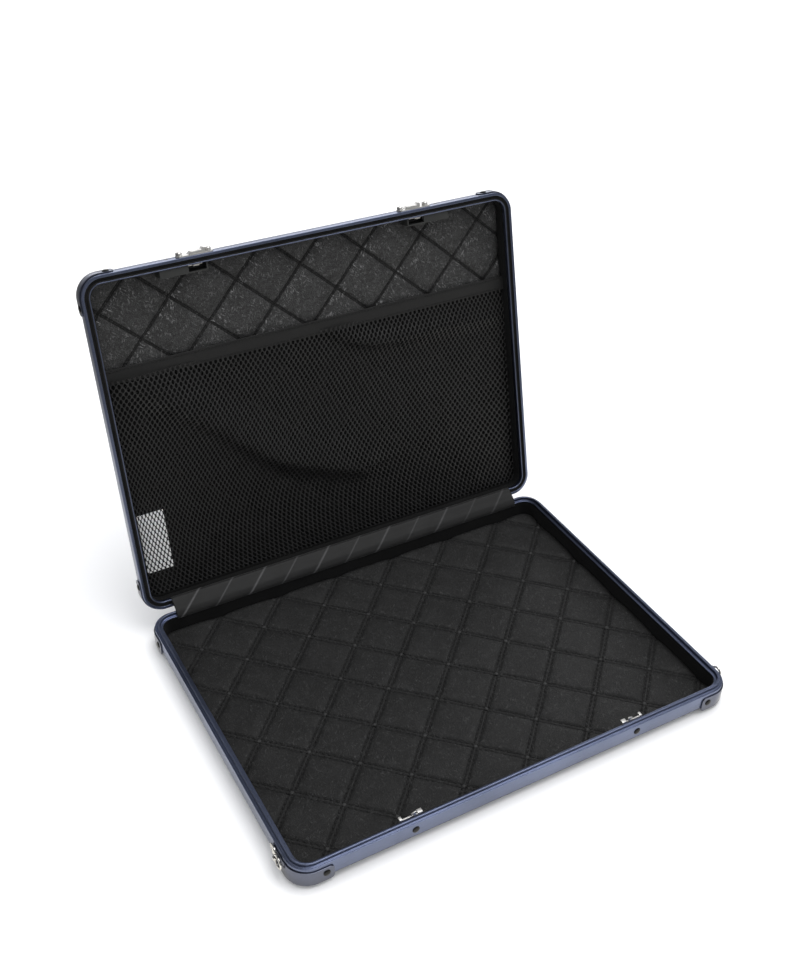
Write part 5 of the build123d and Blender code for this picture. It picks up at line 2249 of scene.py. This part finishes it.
@dataclass
class Studio:
    """The pale floor, the soft lights and the camera."""

    floor_half: float = 6.0
    eye: tuple[float, float, float] = (-0.39318, -0.61637, 0.72954)
    right: tuple[float, float, float] = (0.87376, -0.48582, 0.02277)
    down: tuple[float, float, float] = (-0.27107, -0.52533, -0.80656)
    forward: tuple[float, float, float] = (0.40381, 0.69857, -0.59071)
    lens: float = 45.573
    sensor: float = 36.0
    world_strength: float = 1.0
    near_floor: float = 0.97
    far_floor: float = 0.22
    horizon_top: float = 0.3
    ceiling_start: float = 0.5
    back_glow: float = 0.9
    front_glow: float = 0.3
    left_share: float = 0.2
    ceiling_glow: float = 0.12
    lights: tuple[Softbox, ...] = (
        Softbox("key_softbox", (0.5, -0.05, 1.95), (0.0, 0.05, 0.1), (1.6, 1.4), 24.0),
        Softbox("front_softbox", (0.45, -2.0, 1.45), (0.0, 0.1, 0.15), (1.6, 0.6), 1.5),
        Softbox("back_softbox", (1.1, 2.7, 0.82), (0.0, 0.2, 0.3), (3.0, 0.62), 14.0),
    )

    def build(self) -> None:
        """Sets up the whole studio."""
        self._floor()
        self._world()
        for light in self.lights:
            light.hang()
        self._camera()
        settings = bpy.context.scene.view_settings
        settings.view_transform = "Standard"
        settings.look = "None"

    def _floor(self) -> None:
        """A pale floor with painted shade, a little darker near the case, which mirrors a little darker than it looks.
        """
        half = self.floor_half
        mesh = bpy.data.meshes.new("studio_floor")
        corners = [(-half, -half, 0), (half, -half, 0), (half, half, 0), (-half, half, 0)]
        mesh.from_pydata(corners, [], [(0, 1, 2, 3)])
        material = bpy.data.materials.new("Pale studio floor")
        material.use_nodes = True
        material.node_tree.nodes.clear()
        wire = Wiring(material.node_tree)
        mirrored_ray = wire.add("ShaderNodeLightPath").outputs["Is Glossy Ray"]
        place = wire.place()
        away = wire.add("ShaderNodeVectorMath", {0: place}, operation="LENGTH").outputs["Value"]
        # Painted shade: the floor is painted a little darker near the case.
        paper_shaded_near_case = wire.blend(wire.span(away, 0.22, 0.5), (0.9, 0.9, 0.905), (0.95, 0.95, 0.955))
        pale = wire.blend(wire.times(wire.noise(place, 40.0), 0.05), paper_shaded_near_case, grey(1.0))
        far = wire.span(away, 0.3, 0.8, self.near_floor, self.far_floor, interpolation_type="SMOOTHSTEP")
        tone = wire.blend(mirrored_ray, pale, wire.blend(far, grey(0.0), (1.0, 0.975, 0.91)))
        inputs = {"Base Color": tone, "Roughness": 0.9, "Specular IOR Level": 0.0}
        wire.add("ShaderNodeOutputMaterial", {0: wire.add("ShaderNodeBsdfPrincipled", inputs).outputs[0]})
        mesh.materials.append(material)
        floor = bpy.data.objects.new("studio_floor", mesh)
        bpy.context.scene.collection.objects.link(floor)

    def _world(self) -> None:
        """Soft light from all round, which polished faces see as a pale horizon under a dark ceiling."""
        world = bpy.data.worlds.new("studio_air")
        world.use_nodes = True
        world.node_tree.nodes.clear()
        wire = Wiring(world.node_tree)
        across, back, up = wire.parts(wire.add("ShaderNodeTexCoord").outputs["Generated"])
        sides = wire.span(across, -0.55, -0.1, self.left_share)
        horizon = wire.times(wire.span(back, -0.5, 0.6, self.front_glow, self.back_glow), sides)
        heights = (self.horizon_top, self.ceiling_start, horizon, self.ceiling_glow)
        rise = wire.span(up, *heights, interpolation_type="SMOOTHSTEP")
        mirrored_ray = wire.add("ShaderNodeLightPath").outputs["Is Glossy Ray"]
        even = wire.times(wire.minus(1.0, mirrored_ray), self.world_strength)
        strength = wire.plus(even, wire.times(mirrored_ray, rise))
        background = wire.add("ShaderNodeBackground", {"Color": (0.97, 0.98, 1.0), "Strength": strength})
        wire.add("ShaderNodeOutputWorld", {"Surface": background.outputs[0]})
        bpy.context.scene.world = world

    def _camera(self) -> None:
        """Stands the camera where the case is seen open from its front left."""
        data = bpy.data.cameras.new("studio_camera")
        data.sensor_width = self.sensor
        data.lens = self.lens
        data.clip_start, data.clip_end = 0.01, 50.0
        camera = bpy.data.objects.new("studio_camera", data)
        turn = Matrix((Vector(self.right), -Vector(self.down), -Vector(self.forward))).transposed()
        camera.matrix_world = Matrix.Translation(self.eye) @ turn.to_4x4()
        bpy.context.scene.collection.objects.link(camera)
        bpy.context.scene.camera = camera


def main() -> None:
    """Builds the studio and then every sub-assembly of the case."""
    logging.basicConfig(level=logging.INFO, format="%(name)s %(message)s")
    Studio().build()
    plan = Plan.from_frame()
    shop = Workshop(plan)
    Frames(shop).build()
    Shells(shop).build()
    QuiltedPad(
        shop, "base_quilted_pad", "base_lining", Body.BASE, shop.palette.leather_base,
        fullness=2.6, puff=1.8, stitch_pitch=4.7, stitch_size=(2.9, 0.74),
    ).build()
    pocket = NetPocket(shop)
    lid_pad = QuiltedPad(
        shop, "lid_quilted_pad", "lid_lining", Body.LID, shop.palette.leather_lid, plan.opening,
        knotted=False, pocket_from=pocket.binding_end - 3, ridge=0.1, stitch_pitch=3.4, stitch_size=(2.4, 0.5), seed=71,
    )
    lid_pad.build()
    pocket.build(lid_pad)
    for assembly in (HingeStrip, HingeMetal, Guards, StrapRings, Latches, Rivets):
        assembly(shop).build()


if __name__ == "__main__":
    main()
